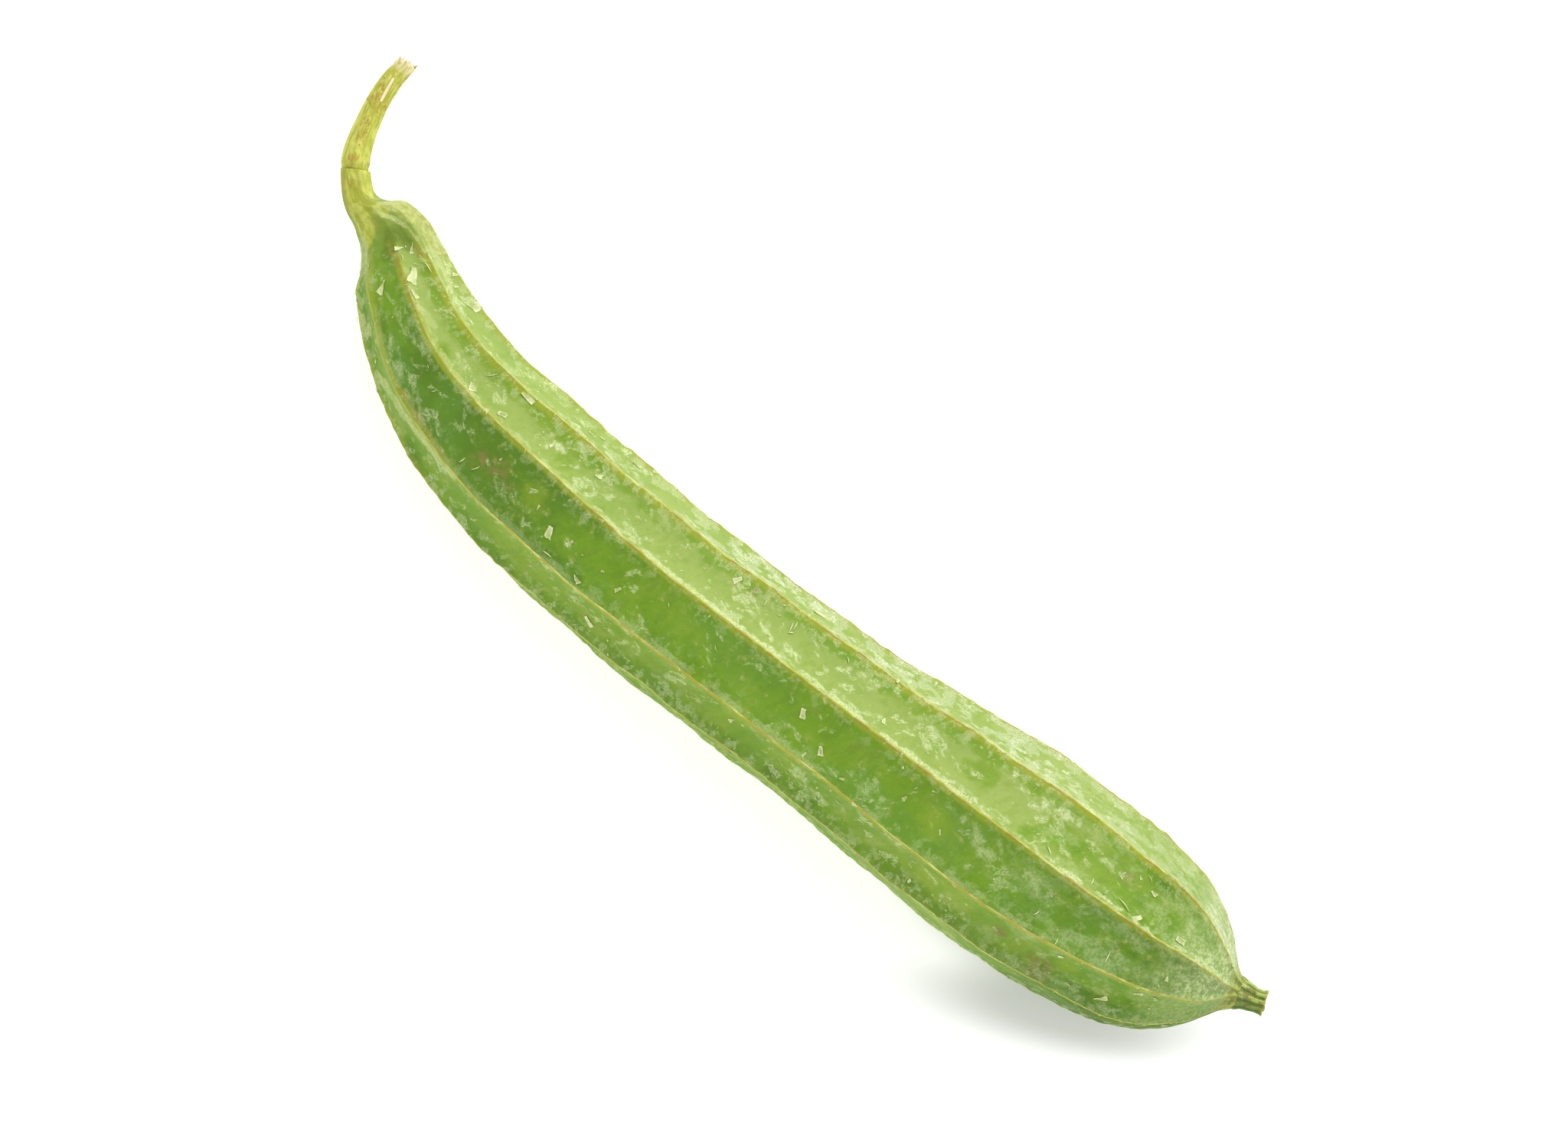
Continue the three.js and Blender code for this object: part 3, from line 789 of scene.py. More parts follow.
def strand(place, normal, heading, length, radius, bend, rise=0.15):
    """A slim four-sided strand along an arc that turns by bend, thinning to both ends."""
    steps = np.linspace(0, 1, STRAND_STEPS)
    lengthwise, across = lie_on(normal, heading)
    turn = bend * (steps - 0.5)
    way = np.cos(turn)[:, None] * lengthwise + np.sin(turn)[:, None] * across
    path = place + np.cumsum(way, axis=0) * length / len(steps) - lengthwise * length / 2
    path = path + (rise + 0.3 * radius + rise * np.sin(np.pi * steps))[:, None] * normal
    thick = radius * (0.35 + 0.65 * np.sin(np.pi * np.clip(steps, 0.04, 0.96)))[:, None, None]
    beside = np.cross(normal, way)[:, None, :]
    angle = (np.pi / 4 + np.pi / 2 * np.arange(4))[None, :, None]
    rings = path[:, None, :] + thick * (beside * np.sin(angle) + normal * np.cos(angle))
    return skin_over(rings, path[0], path[-1])


def join_shapes(shapes):
    """Many closed shapes as the points and faces of one mesh."""
    points, quads, triangles = zip(*shapes)
    counts = np.cumsum([0] + [len(own) for own in points[:-1]])
    return (
        np.concatenate(points),
        np.concatenate([faces + count for faces, count in zip(quads, counts)]),
        np.concatenate([faces + count for faces, count in zip(triangles, counts)]),
    )


print("points of a flake:", 2 * math.prod(FLAKE_GRID), "and of a fibre:", 4 * STRAND_STEPS + 2)

# %% Flakes and fibres
SCATTERED_FLAKES, SCATTERED_FIBRES = 150, 110
SCATTER_START, SCATTER_END = 22, 303  # along the fruit
UNDERSIDE = -0.1  # outward z where the scattering stops


def scattered_spot():
    """A drawn place on the upper part of the rind, clear of both ends."""
    while True:
        row = draw.integers(*np.searchsorted(fruit_rows, (SCATTER_START, SCATTER_END)))
        column = draw.integers(CRESTS * STEPS)
        if seen_rind.normals[row, column, 2] > UNDERSIDE:
            return rind_rings[row, column], seen_rind.normals[row, column]


flakes = [
    flake(*seen_rind.under(x, y), CAMERA_TURN + math.radians(heading), length, width, pinch)
    for x, y, length, width, heading, pinch in PLACED_FLAKES
]
for _ in range(SCATTERED_FLAKES):
    size = 0.45 + draw.gamma(2.0, 0.22)
    flakes.append(flake(*scattered_spot(), draw.uniform(0, 2 * math.pi), size,
                        size * draw.uniform(0.35, 0.8), draw.uniform(0.2, 1)))
bodies = np.concatenate([flake_body(draw.choice([0.2, 0.45, 0.65])) for _ in flakes])
skin_flakes = make_piece(
    "skin_flakes", *join_shapes(flakes), "fruit_skin", smooth=False, body=bodies)

fibres = [
    strand(*seen_rind.under(x, y), CAMERA_TURN + math.radians(heading), length, FIBRE_RADIUS,
           math.radians(bend))
    for x, y, length, heading, bend in PLACED_FIBRES
]
for _ in range(SCATTERED_FIBRES):
    fibres.append(strand(*scattered_spot(), draw.uniform(0, 2 * math.pi),
                         0.6 + draw.gamma(2.0, 0.45), draw.uniform(0.06, 0.1),
                         draw.uniform(-1.6, 1.6)))
skin_fibres = make_piece("skin_fibres", *join_shapes(fibres), "fruit_skin")

# %% [markdown]
# ## Torn fibres of the cut stem
# The stalk's tough fibres pull out when it is cut, and stand round the rim like the bristles of
# a worn brush. Each is a strand like those above, rooted in the cut face.

# %% Torn fibres
CUT_FIBRES = 34
ROOT_DEPTH = 0.9  # how far a fibre is rooted in the cut face
cut_middle = stalk_middle[STALK_ROWS - 1]
_, cut_forward, cut_sideways, cut_up = (row[0] for row in tube_frame(
    STEM_STATIONS, np.array([stalk_length])))


def cut_fibre():
    """A strand that stands forward out of the cut face, near its rim, and leans outwards."""
    angle = draw.uniform(0, 2 * math.pi)
    out = cut_sideways * math.sin(angle) + cut_up * math.cos(angle)
    reach = STEM_STATIONS[-1, -1] * draw.uniform(0.35, 0.97)
    length = draw.uniform(1.2, 2.8)
    lean = draw.uniform(0.0, 0.35)
    way = cut_forward + lean * out
    way /= np.linalg.norm(way)
    rise = CUT_SLANT * reach * math.sin(angle)
    steps = np.linspace(0, 1, 7)[:, None]
    path = cut_middle + out * reach + cut_forward * (rise - ROOT_DEPTH) + way * steps * length
    path = path + out * 0.12 * length * steps**2
    thick = draw.uniform(0.1, 0.2) * (1 - 0.75 * steps)[:, :, None]
    beside = np.cross(way, out)
    corner = (np.pi / 2 * np.arange(4))[None, :, None]
    rings = path[:, None, :] + thick * (beside * np.sin(corner) + out * np.cos(corner))
    points, quads, triangles = skin_over(rings, path[0], path[-1])
    return points, quads[:, ::-1], triangles[:, ::-1]


cut_fibres = make_piece(
    "cut_fibres", *join_shapes([cut_fibre() for _ in range(CUT_FIBRES)]), "stem_skin")

# %% [markdown]
# ## Wiring a finish
# Each finish is a small net of nodes. Adding a node, setting it and joining it takes several
# lines each time, so a helper does that, and the finishes below read as short sentences. Patterns
# are laid out in millimetres, in the place that a point would have if the fruit were
# straightened, which the pieces carry as an attribute.

# %% A helper that wires nodes
class Wiring:
    """Adds nodes to one node tree. Each call gives back the socket that the next one takes."""

    def __init__(self, tree):
        self.tree = tree

    def feed(self, socket, value):
        """Join another node's socket to this one, or set a plain number or colour on it."""
        if isinstance(value, bpy.types.NodeSocket):
            self.tree.links.new(value, socket)
        else:
            socket.default_value = value

    def node(self, kind, inputs, **settings):
        made = self.tree.nodes.new(kind)
        for key, value in settings.items():
            setattr(made, key, value)
        for key, value in inputs.items():
            self.feed(made.inputs[key], value)
        return made

    def attribute(self, name, output="Fac"):
        return self.node("ShaderNodeAttribute", {}, attribute_name=name).outputs[output]

    def object_place(self):
        """The place of each point in millimetres, from the object's own coordinates."""
        metres = self.node("ShaderNodeTexCoord", {}).outputs["Object"]
        return self.stretch(metres, (1 / MM,) * 3)

    def math(self, operation, *values):
        """One operation on two values, or on the result so far and each further value."""
        result = values[0]
        for value in values[1:]:
            made = self.node("ShaderNodeMath", {0: result, 1: value}, operation=operation)
            result = made.outputs[0]
        return result

    def plus(self, *values):
        return self.math("ADD", *values)

    def times(self, *values):
        return self.math("MULTIPLY", *values)

    def most(self, *values):
        return self.math("MAXIMUM", *values)

    def step(self, value, start, end, low=0.0, high=1.0):
        """low before start, high past end, and a smooth climb between them."""
        inputs = {"Value": value, "From Min": start, "From Max": end, "To Min": low, "To Max": high}
        made = self.node("ShaderNodeMapRange", inputs, interpolation_type="SMOOTHSTEP")
        return made.outputs["Result"]

    def noise(self, place, size, detail=2.0, roughness=0.5):
        """A noise whose lumps are about size millimetres wide, from 0 to 1 and mostly near 1/2."""
        scale = self.math("DIVIDE", 1.0, size)
        inputs = {"Vector": place, "Scale": scale, "Detail": detail, "Roughness": roughness}
        return self.node("ShaderNodeTexNoise", inputs).outputs["Fac"]

    def ripple(self, place, size, detail=2.0, roughness=0.5):
        """The same noise less 1/2, so that it swings to both sides of 0."""
        return self.math("SUBTRACT", self.noise(place, size, detail, roughness), 0.5)

    def stretch(self, place, scale, shift=(0.0, 0.0, 0.0), slant=0.0):
        """The same places, turned by slant degrees in their own x and z, and then scaled and
        shifted, so that a pattern on them is drawn out."""
        if slant:
            turn = {"Vector": place, "Rotation": (0.0, math.radians(slant), 0.0)}
            place = self.node("ShaderNodeMapping", turn).outputs["Vector"]
        inputs = {"Vector": place, "Location": shift, "Scale": scale}
        return self.node("ShaderNodeMapping", inputs).outputs["Vector"]

    def mix(self, amount, under, over):
        """The under colour, covered by the over colour where amount is 1."""
        made = self.node("ShaderNodeMix", {0: amount, 6: under, 7: over}, data_type="RGBA")
        return made.outputs[2]

    def group(self, tree, **inputs):
        inputs = {key.replace("_", " "): value for key, value in inputs.items()}
        return self.node("ShaderNodeGroup", inputs, node_tree=tree).outputs[0]


print("what the helper does:", [name for name in vars(Wiring) if not name.startswith("_")])


# %% Helpers for finishes
def colour(red, green, blue):
    return (red, green, blue, 1.0)


def new_group(name, output, **inputs):
    """A shader node group. Its inputs are numbers with a starting value, or a place where the
    value is None, and it puts out a colour if its output is called Color, or else a number."""
    tree = bpy.data.node_groups.new(name, "ShaderNodeTree")
    for key, value in inputs.items():
        kind = "NodeSocketVector" if value is None else "NodeSocketFloat"
        socket = tree.interface.new_socket(key.replace("_", " "), in_out="INPUT", socket_type=kind)
        if value is not None:
            socket.default_value = value
    kind = "NodeSocketColor" if output == "Color" else "NodeSocketFloat"
    tree.interface.new_socket(output, in_out="OUTPUT", socket_type=kind)
    wires = Wiring(tree)
    entry = tree.nodes.new("NodeGroupInput").outputs
    return tree, wires, entry, tree.nodes.new("NodeGroupOutput").inputs[0]


def new_finish(name, piece):
    """A material on a piece, with its wiring and its surface shader."""
    material = bpy.data.materials.new(name)
    material.use_nodes = True
    piece.data.materials.clear()
    piece.data.materials.append(material)
    shader = material.node_tree.nodes["Principled BSDF"]
    return Wiring(material.node_tree), shader


def set_surface(wires, shader, base, roughness, specular, height=None, depth=0.25):
    """Give a finish its colour, roughness and gloss, and a bump depth millimetres deep."""
    wires.feed(shader.inputs["Base Color"], base)
    wires.feed(shader.inputs["Roughness"], roughness)
    shader.inputs["Specular IOR Level"].default_value = specular
    if height is not None:
        inputs = {"Height": height, "Distance": depth * MM, "Strength": 1.0}
        bump = wires.node("ShaderNodeBump", inputs)
        wires.feed(shader.inputs["Normal"], bump.outputs["Normal"])


print("helpers:", new_group.__name__, new_finish.__name__, set_surface.__name__)


# %% [markdown]
# ## Effects that several finishes share
# Wax comes off a gourd's skin as a pale bloom of tiny grains, thick in some patches and missing
# in others. Brown specks are where the skin was scratched and healed. A fine grain of pores keeps
# every surface from looking like plastic. Each is a node group, built once and used with
# different sizes.

# %% Shared effects
wax_tree, wires, entry, result = new_group(
    "wax_bloom", "Amount", Place=None, Patch_Size=6.0, Grain_Size=0.5, Cover=0.5)
patch = wires.noise(entry["Place"], entry["Patch Size"], 3.0, 0.6)
edge_of_patch = wires.math("SUBTRACT", 0.86, wires.times(entry["Cover"], 0.6))
patch = wires.step(wires.math("SUBTRACT", patch, edge_of_patch), -0.02, 0.05)
grains = wires.noise(entry["Place"], entry["Grain Size"], 2.0, 0.7)
grains = wires.step(grains, 0.4, 0.62, 0.25, 1.0)
wires.feed(result, wires.times(patch, grains))

speck_tree, wires, entry, result = new_group(
    "brown_specks", "Amount", Place=None, Size=1.0, Cover=0.5)
specks = wires.noise(entry["Place"], entry["Size"], 4.0, 0.65)
edge_of_speck = wires.math("SUBTRACT", 0.8, wires.times(entry["Cover"], 0.4))
specks = wires.step(wires.math("SUBTRACT", specks, edge_of_speck), 0.0, 0.08)
wires.feed(result, specks)

pore_tree, wires, entry, result = new_group("pore_grain", "Height", Place=None, Size=0.4)
pores = wires.noise(entry["Place"], entry["Size"], 3.0, 0.6)
dimples = wires.noise(entry["Place"], wires.times(entry["Size"], 5.0))
wires.feed(result, wires.plus(wires.times(pores, 0.5), wires.times(dimples, 0.5)))
print("effects:", wax_tree.name, speck_tree.name, pore_tree.name)

# %% The stalk's green, shared by the stalk and the neck
STALK_LIGHT = colour(0.66, 0.66, 0.14)
STALK_GREEN = colour(0.42, 0.46, 0.045)
STALK_OLIVE = colour(0.30, 0.29, 0.028)
SCAR_BROWN = colour(0.41, 0.265, 0.045)

stalk_tree, wires, entry, result = new_group(
    "stalk_green", "Color", Place=None, Age=0.5)
long_place = wires.stretch(entry["Place"], (1.0, 1.0, 0.16))
streaks = wires.step(wires.noise(long_place, 0.75, 3.0, 0.6), 0.36, 0.62)
broad_place = wires.stretch(entry["Place"], (1.0, 1.0, 0.35), (7.0, 3.0, 1.0))
broad = wires.plus(wires.noise(broad_place, 3.5), wires.times(entry["Age"], 0.16))
mottle = wires.step(wires.noise(entry["Place"], 1.6, 3.0, 0.6), 0.38, 0.62, -0.25, 0.25)
stalk_colour = wires.mix(wires.plus(streaks, mottle), STALK_GREEN, STALK_LIGHT)
stalk_colour = wires.mix(wires.step(broad, 0.54, 0.74, 0.0, 0.75), stalk_colour, STALK_OLIVE)
wires.feed(result, stalk_colour)
print("stalk green nodes:", len(stalk_tree.nodes))

# %% The stub's green, shared by the stub and the very end of the rind
RIB_GREEN = colour(0.42, 0.48, 0.10)
GROOVE_AND_SHADE_GREEN = colour(0.10, 0.18, 0.028)
BLOTCH_OLIVE = colour(0.15, 0.14, 0.025)

stub_tree, wires, entry, result = new_group("stub_green", "Color", Place=None, Depth=0.5)
fine = wires.noise(wires.stretch(entry["Place"], (1.0, 1.0, 0.3)), 0.6, 3.0, 0.6)
ribbed = wires.plus(entry["Depth"], wires.step(fine, 0.35, 0.65, -0.3, 0.3))
stub_colour = wires.mix(ribbed, RIB_GREEN, GROOVE_AND_SHADE_GREEN)
blotches = wires.step(wires.noise(entry["Place"], 1.9, 3.0, 0.6), 0.5, 0.6, 0.0, 0.65)
stub_colour = wires.mix(blotches, stub_colour, BLOTCH_OLIVE)
wires.feed(result, stub_colour)
print("stub green nodes:", len(stub_tree.nodes))

# %% [markdown]
# ## The skin of the fruit
# From the crest outwards the skin goes through several narrow bands: a pale cord-like line along
# the crest, a white bloom of wax on the side that faces the light, and on the other side a thin
# yellow-green edge over a darker flank. The valley floor is a slightly uneven green with patches
# and strokes of wax. The blossom end is frosted and finely streaked, and the neck is olive. The
# bands are masks made from the distance to the crest, laid over each other from the bottom up.

# %% The valleys' greens
# the darkest green is painted shade, on the underside of the blossom end
UNDERSIDE_SHADE_GREEN = colour(0.06, 0.11, 0.013)
DARK_GREEN = colour(0.10, 0.205, 0.016)
DEEP_GREEN = colour(0.16, 0.298, 0.018)
MID_GREEN = colour(0.21, 0.335, 0.034)
PALE_GREEN = colour(0.30, 0.405, 0.088)
BLUISH_GREEN = colour(0.12, 0.265, 0.035)

wires, shader = new_finish("fruit_skin", rind)
place = wires.attribute("straight", "Vector")
along = wires.attribute("along")
from_crest = wires.attribute("from_crest")
tone = wires.attribute("tone")
relief = wires.step(wires.attribute("relief"), 0.4, 0.95)
waxy = wires.times(wires.attribute("waxy"), wires.step(along, 60.0, 190.0, 0.6, 1.0))

# uneven over a few millimetres, with soft veins across the valleys and a finer lengthwise grain
uneven = wires.ripple(place, 9.0, 3.0, 0.55)
coarse = wires.ripple(place, 7.0)
wobble = wires.ripple(place, 3.0, 3.0, 0.6)
fine = wires.ripple(wires.stretch(place, (1.0, 1.0, 0.5)), 0.9, 3.0, 0.65)
veins = wires.ripple(wires.stretch(place, (0.4, 0.4, 1.0), (5.0, 2.0, 9.0), slant=24.0), 2.6)
flank_reach = wires.plus(from_crest, wires.times(coarse, 8.0), wires.times(wobble, 2.5))
flank = wires.times(wires.step(flank_reach, 5.6, 1.6), wires.attribute("flank"), relief,
                    wires.step(along, 298.0, 272.0, 0.2, 1.0))
shade = wires.plus(tone, wires.times(uneven, 1.4), wires.times(veins, 0.9), wires.times(fine, 0.5),
                   wires.times(flank, -0.5), wires.times(wires.attribute("deepened"), -0.7))
green = UNDERSIDE_SHADE_GREEN
for lighter, start, end in ((DARK_GREEN, -2.0, -0.6), (DEEP_GREEN, -0.6, 0.05),
                            (MID_GREEN, 0.0, 0.5), (PALE_GREEN, 0.45, 1.0)):
    green = wires.mix(wires.step(shade, start, end), green, lighter)
vein_green = wires.mix(wires.step(tone, 0.3, 0.8), DARK_GREEN, MID_GREEN)
green = wires.mix(wires.step(veins, 0.02, 0.13, 0.0, 0.34), green, vein_green)
bluish = wires.noise(wires.stretch(place, (1.0, 1.0, 0.7), (8.0, 5.0, 1.0)), 12.0)
bluish = wires.times(wires.step(bluish, 0.46, 0.64), wires.step(tone, 1.0, 0.1, 0.15, 0.45),
                     wires.step(tone, -1.2, -0.6))
green = wires.mix(bluish, green, BLUISH_GREEN)
print("nodes for the valleys' greens:", len(wires.tree.nodes))

# %% The green edges of the crests, and stained patches and yellower ones
EDGE_GREEN = colour(0.31, 0.37, 0.032)
STAIN_OLIVE = colour(0.215, 0.195, 0.05)
YELLOWER_GREEN = colour(0.29, 0.40, 0.032)


def ragged(name, reach=1.3, start=0.2, end=0.75, high=1.0):
    """One of the rind's soft masks, with its edge made uneven."""
    mask = wires.plus(wires.attribute(name), wires.times(wobble, reach))
    return wires.step(mask, start, end, 0.0, high)


edge_reach = wires.plus(from_crest, wires.times(wobble, 1.1))
edge = wires.times(wires.step(edge_reach, 1.8, 0.8), wires.attribute("edge"), relief, 0.9,
                   wires.step(along, 300.0, 270.0, 0.4, 1.0))
green = wires.mix(edge, green, EDGE_GREEN)
blunt = wires.times(wires.step(edge_reach, 1.9, 0.5), wires.step(along, 92.0, 48.0), relief, 0.65)
green = wires.mix(blunt, green, EDGE_GREEN)
blotched = wires.step(wires.noise(place, 1.6, 3.0, 0.6), 0.38, 0.6)
green = wires.mix(wires.times(wires.attribute("stain"), blotched, 0.9), green, STAIN_OLIVE)
green = wires.mix(ragged("sunned", 1.3, 0.0, 1.6, 0.6), green, YELLOWER_GREEN)
print("nodes with edges and patches:", len(wires.tree.nodes))

# %% The neck and the very end
NECK_OLIVE = colour(0.20, 0.28, 0.04)
HOLLOW_SHADE_GREEN = colour(0.13, 0.20, 0.022)
SHOULDER_OLIVE = colour(0.39, 0.40, 0.10)
SHOULDER_PALE = colour(0.50, 0.55, 0.19)
MARK_BROWN = colour(0.29, 0.25, 0.035)

# the neck is olive, with a hollow in painted shade, a pale shoulder beside it, and the stalk's own
# green
neck = wires.step(wires.plus(along, wires.times(uneven, 16.0)), 29.0, 17.0)
green = wires.mix(wires.times(neck, 0.85), green, NECK_OLIVE)
hollow = wires.times(ragged("hollow", 2.4, 0.1, 1.0), wires.step(fine, -0.12, 0.1, 0.95, 0.6))
green = wires.mix(hollow, green, HOLLOW_SHADE_GREEN)
shoulder_mottle = wires.step(wires.noise(place, 1.1, 3.0, 0.65), 0.42, 0.6)
shoulder_colour = wires.mix(shoulder_mottle, SHOULDER_OLIVE, SHOULDER_PALE)
green = wires.mix(wires.times(ragged("shoulder"), 0.85), green, shoulder_colour)
stem_share = wires.most(ragged("flare", 1.3, 0.0, 1.2), wires.step(along, 8.0, 4.0))
stem_share = wires.times(stem_share, wires.step(along, 14.0, 4.0, 0.72, 0.92))
stem_colour = wires.group(stalk_tree, Place=place, Age=wires.step(along, 18.0, 9.0, 0.3, 1.0))
green = wires.mix(stem_share, green, stem_colour)
brown_mark = wires.times(ragged("brown_mark"), wires.plus(0.3, blotched), 0.6)
green = wires.mix(brown_mark, green, MARK_BROWN)

# the very end runs into the dry stub
stub_share = wires.step(wires.plus(along, wires.times(wobble, 7.0)), 301.5, 307.0)
green = wires.mix(stub_share, green, wires.group(stub_tree, Place=place, Depth=0.35))
print("nodes with both ends:", len(wires.tree.nodes))

# %% Patches, strokes and clouds of wax in the valleys
edge_grain = wires.step(wires.noise(place, 0.42, 3.0, 0.7), 0.38, 0.6, 0.4, 1.0)
patch_cover = wires.plus(wires.step(waxy, 0.0, 1.0, 0.28, 0.6),
                         wires.step(from_crest, 4.5, 1.2, 0.0, 0.12))
patches = wires.group(wax_tree, Place=place, Patch_Size=4.6, Grain_Size=0.36, Cover=patch_cover)
patches = wires.times(patches, wires.step(waxy, 0.1, 1.0, 0.26, 0.48))
clusters = wires.step(wires.noise(place, 13.0), 0.44, 0.6, 0.0, 0.13)
stroke_cover = wires.plus(wires.step(waxy, 0.0, 1.0, 0.31, 0.4), clusters)
strokes = wires.most(*[
    wires.group(wax_tree, Place=wires.stretch(place, (1.0, 1.0, 0.5), shift, slant=slant),
                Patch_Size=size, Grain_Size=0.4, Cover=stroke_cover)
    for shift, slant, size in (((31.0, 7.0, 3.0), 28.0, 3.8), ((3.0, 17.0, 5.0), -42.0, 3.2))
])
strokes = wires.times(strokes, wires.step(waxy, 0.0, 0.6, 0.38, 0.76))
valley_wax = wires.times(wires.most(patches, strokes), wires.step(along, 280.0, 225.0, 0.5, 1.0))
cloud_place = wires.stretch(place, (1.0, 1.0, 0.7), (4.0, 9.0, 2.0), slant=35.0)
cloud_parts = wires.step(wires.noise(cloud_place, 2.6, 4.0, 0.7), 0.44, 0.6)
cloud = wires.times(ragged("cloud", 2.4, 0.2, 1.0), cloud_parts, edge_grain,
                    wires.step(tone, 0.2, 0.9, 0.42, 0.8))
print("nodes with wax in the valleys:", len(wires.tree.nodes))

# %% Wax along the crests, and frost at the blossom end
lit_reach = wires.plus(from_crest, wires.times(wobble, 3.4))
broken = wires.noise(wires.stretch(place, (1.0, 1.0, 0.5), (2.0, 8.0, 6.0)), 3.6, 3.0, 0.6)
lit_band = wires.times(wires.step(lit_reach, 1.7, 1.2), wires.attribute("crest_wax"), relief,
                       wires.step(broken, 0.41, 0.55), edge_grain,
                       wires.step(along, 70.0, 150.0, 0.35, 0.8))
flank_grain = wires.group(wax_tree, Place=place, Patch_Size=2.2, Grain_Size=0.33, Cover=0.56)
flank_band = wires.times(wires.step(flank_reach, 5.4, 1.6), flank_grain,
                         wires.step(wires.attribute("flank"), 0.0, 0.8, 0.1, 0.42), relief)
tip_streaks = wires.noise(wires.stretch(place, (1.0, 1.0, 0.24)), 1.3, 4.0, 0.7)
tip_grain = wires.noise(place, 0.8, 3.0, 0.75)
tip_pattern = wires.step(wires.plus(tip_streaks, tip_grain), 0.88, 1.16)
near_tip = wires.step(wires.plus(along, wires.times(uneven, 34.0)), 277.0, 299.0)
frost_share = wires.attribute("frost")
frost = wires.times(near_tip, frost_share, wires.plus(0.25, wires.times(tip_pattern, 0.56)))
bloom = wires.noise(wires.stretch(place, (1.0, 1.0, 0.5), (6.0, 1.0, 4.0)), 4.4, 4.0, 0.7)
bloom = wires.times(wires.step(bloom, 0.46, 0.62), wires.step(tip_grain, 0.36, 0.6, 0.25, 1.0),
                    wires.step(along, 215.0, 268.0, 0.0, 0.27), wires.step(frost_share, 0.0, 0.5))
print("nodes with wax on the crests and the tip:", len(wires.tree.nodes))

# %% The wax over the green
WAX_WHITE = colour(0.72, 0.80, 0.43)
WAX_COOL = colour(0.77, 0.80, 0.58)
MARK_PALE = colour(0.52, 0.57, 0.22)

wax = wires.most(valley_wax, cloud, lit_band, flank_band, frost, bloom)
wax = wires.times(wax, wires.step(along, 16.0, 34.0, 0.25, 1.0),
                  wires.step(along, 306.5, 302.5, 0.15, 1.0),
                  wires.step(wires.attribute("hollow"), 0.6, 0.0))
skin = wires.mix(wax, green, wires.mix(wires.step(waxy, 0.5, 0.85), WAX_WHITE, WAX_COOL))
mark_parts = wires.noise(wires.stretch(place, (1.0, 1.0, 0.6)), 2.4, 4.0, 0.7)
pale_mark = wires.times(ragged("pale_mark", 2.2), edge_grain,
                        wires.step(mark_parts, 0.4, 0.58, 0.5, 1.0), 0.9)
skin = wires.mix(pale_mark, skin, MARK_PALE)
print("nodes with the wax laid on:", len(wires.tree.nodes))

# %% The crest lines
CREST_PALE = colour(0.72, 0.72, 0.24)
CREST_GOLD = colour(0.50, 0.48, 0.07)
CREST_BROWN = colour(0.33, 0.21, 0.03)

line_place = wires.plus(from_crest, wires.times(wobble, 0.3), wires.times(fine, 0.35))
before_stub = wires.step(along, 304.0, 292.0, 0.55, 1.0)
line = wires.times(wires.step(line_place, 0.31, 0.15), relief, before_stub,
                   wires.step(along, 26.0, 105.0, 0.1, 1.0))
golden = wires.step(wires.noise(place, 5.0, 3.0, 0.6), 0.34, 0.56)
line_colour = wires.mix(golden, CREST_PALE, CREST_GOLD)
skin = wires.mix(wires.times(line, 0.95), skin, line_colour)

# dried brown stretches, on the line and along its shaded side
shaded_side = wires.times(wires.step(wires.attribute("side"), 0.0, -0.6), relief)
brown_edge = wires.times(wires.step(line_place, 0.54, 0.36), wires.step(line_place, 0.12, 0.26),
                         shaded_side, 0.75)
dried = wires.noise(wires.stretch(place, (1.0, 1.0, 0.3), (9.0, 4.0, 2.0)), 2.2, 3.0, 0.6)
browned = wires.times(wires.most(brown_edge, wires.times(line, 0.4)), wires.step(dried, 0.47, 0.57),
                      before_stub, wires.step(along, 40.0, 105.0, 0.2, 1.0))
skin = wires.mix(browned, skin, CREST_BROWN)

rough = wires.most(wires.step(wax, 0.0, 0.7, 0.58, 0.78), wires.step(tone, -0.3, -1.2, 0.0, 0.9))
pores = wires.group(pore_tree, Place=place, Size=0.4)
height = wires.plus(wires.times(pores, 0.5), wires.times(wax, 0.5), wires.times(veins, 2.2))
set_surface(wires, shader, skin, rough, 0.14, height, 0.16)
print("fruit skin nodes:", len(wires.tree.nodes))

# %% [markdown]
# ## The stalk's skin, the dry stub, and the flakes
# The stalk is a bright yellow-green with lengthwise streaks and brown-orange scars, and its cut
# face is pale and fibrous. The stub is the same flesh dried out: yellow-green ribs with
# olive grooves, and a rim with brown tips. Flakes and fibres are dry skin, nearly white, and the
# thinnest flakes let the green through except at their edges.

# %% Stalk skin
CUT_PALE = colour(0.88, 0.80, 0.47)
CUT_TAN = colour(0.64, 0.54, 0.22)

wires, shader = new_finish("stem_skin", stalk)
place = wires.attribute("straight", "Vector")
along = wires.attribute("along")
long_place = wires.stretch(place, (1.0, 1.0, 0.12))
skin = wires.group(stalk_tree, Place=place, Age=wires.step(along, 5.0, 0.0, 0.35, 0.8))
scar_place = wires.stretch(place, (1.0, 1.0, 0.6))
scar_wash = wires.step(wires.noise(scar_place, 0.9, 3.0, 0.65), 0.44, 0.6, 0.0, 0.45)
scar_lines = wires.math("ABSOLUTE", wires.ripple(scar_place, 1.3, 2.0, 0.6), 0.0)
scar_lines = wires.most(scar_wash, wires.step(scar_lines, 0.045, 0.012))
broad_scars = wires.times(wires.step(wires.attribute("scar"), 0.1, 0.7), scar_lines)
thin_scars = wires.group(speck_tree, Place=long_place, Size=0.9, Cover=0.62)
thin_scars = wires.times(thin_scars, wires.step(along, 6.0, 18.0, 0.1, 0.5))
scarred = wires.most(broad_scars, thin_scars)
skin = wires.mix(scarred, skin, SCAR_BROWN)
slit = wires.attribute("slit")
skin = wires.mix(wires.step(slit, 0.1, 0.4, 0.0, 0.8), skin, SCAR_BROWN)
skin = wires.mix(wires.step(slit, 0.5, 0.8), skin, CUT_PALE)
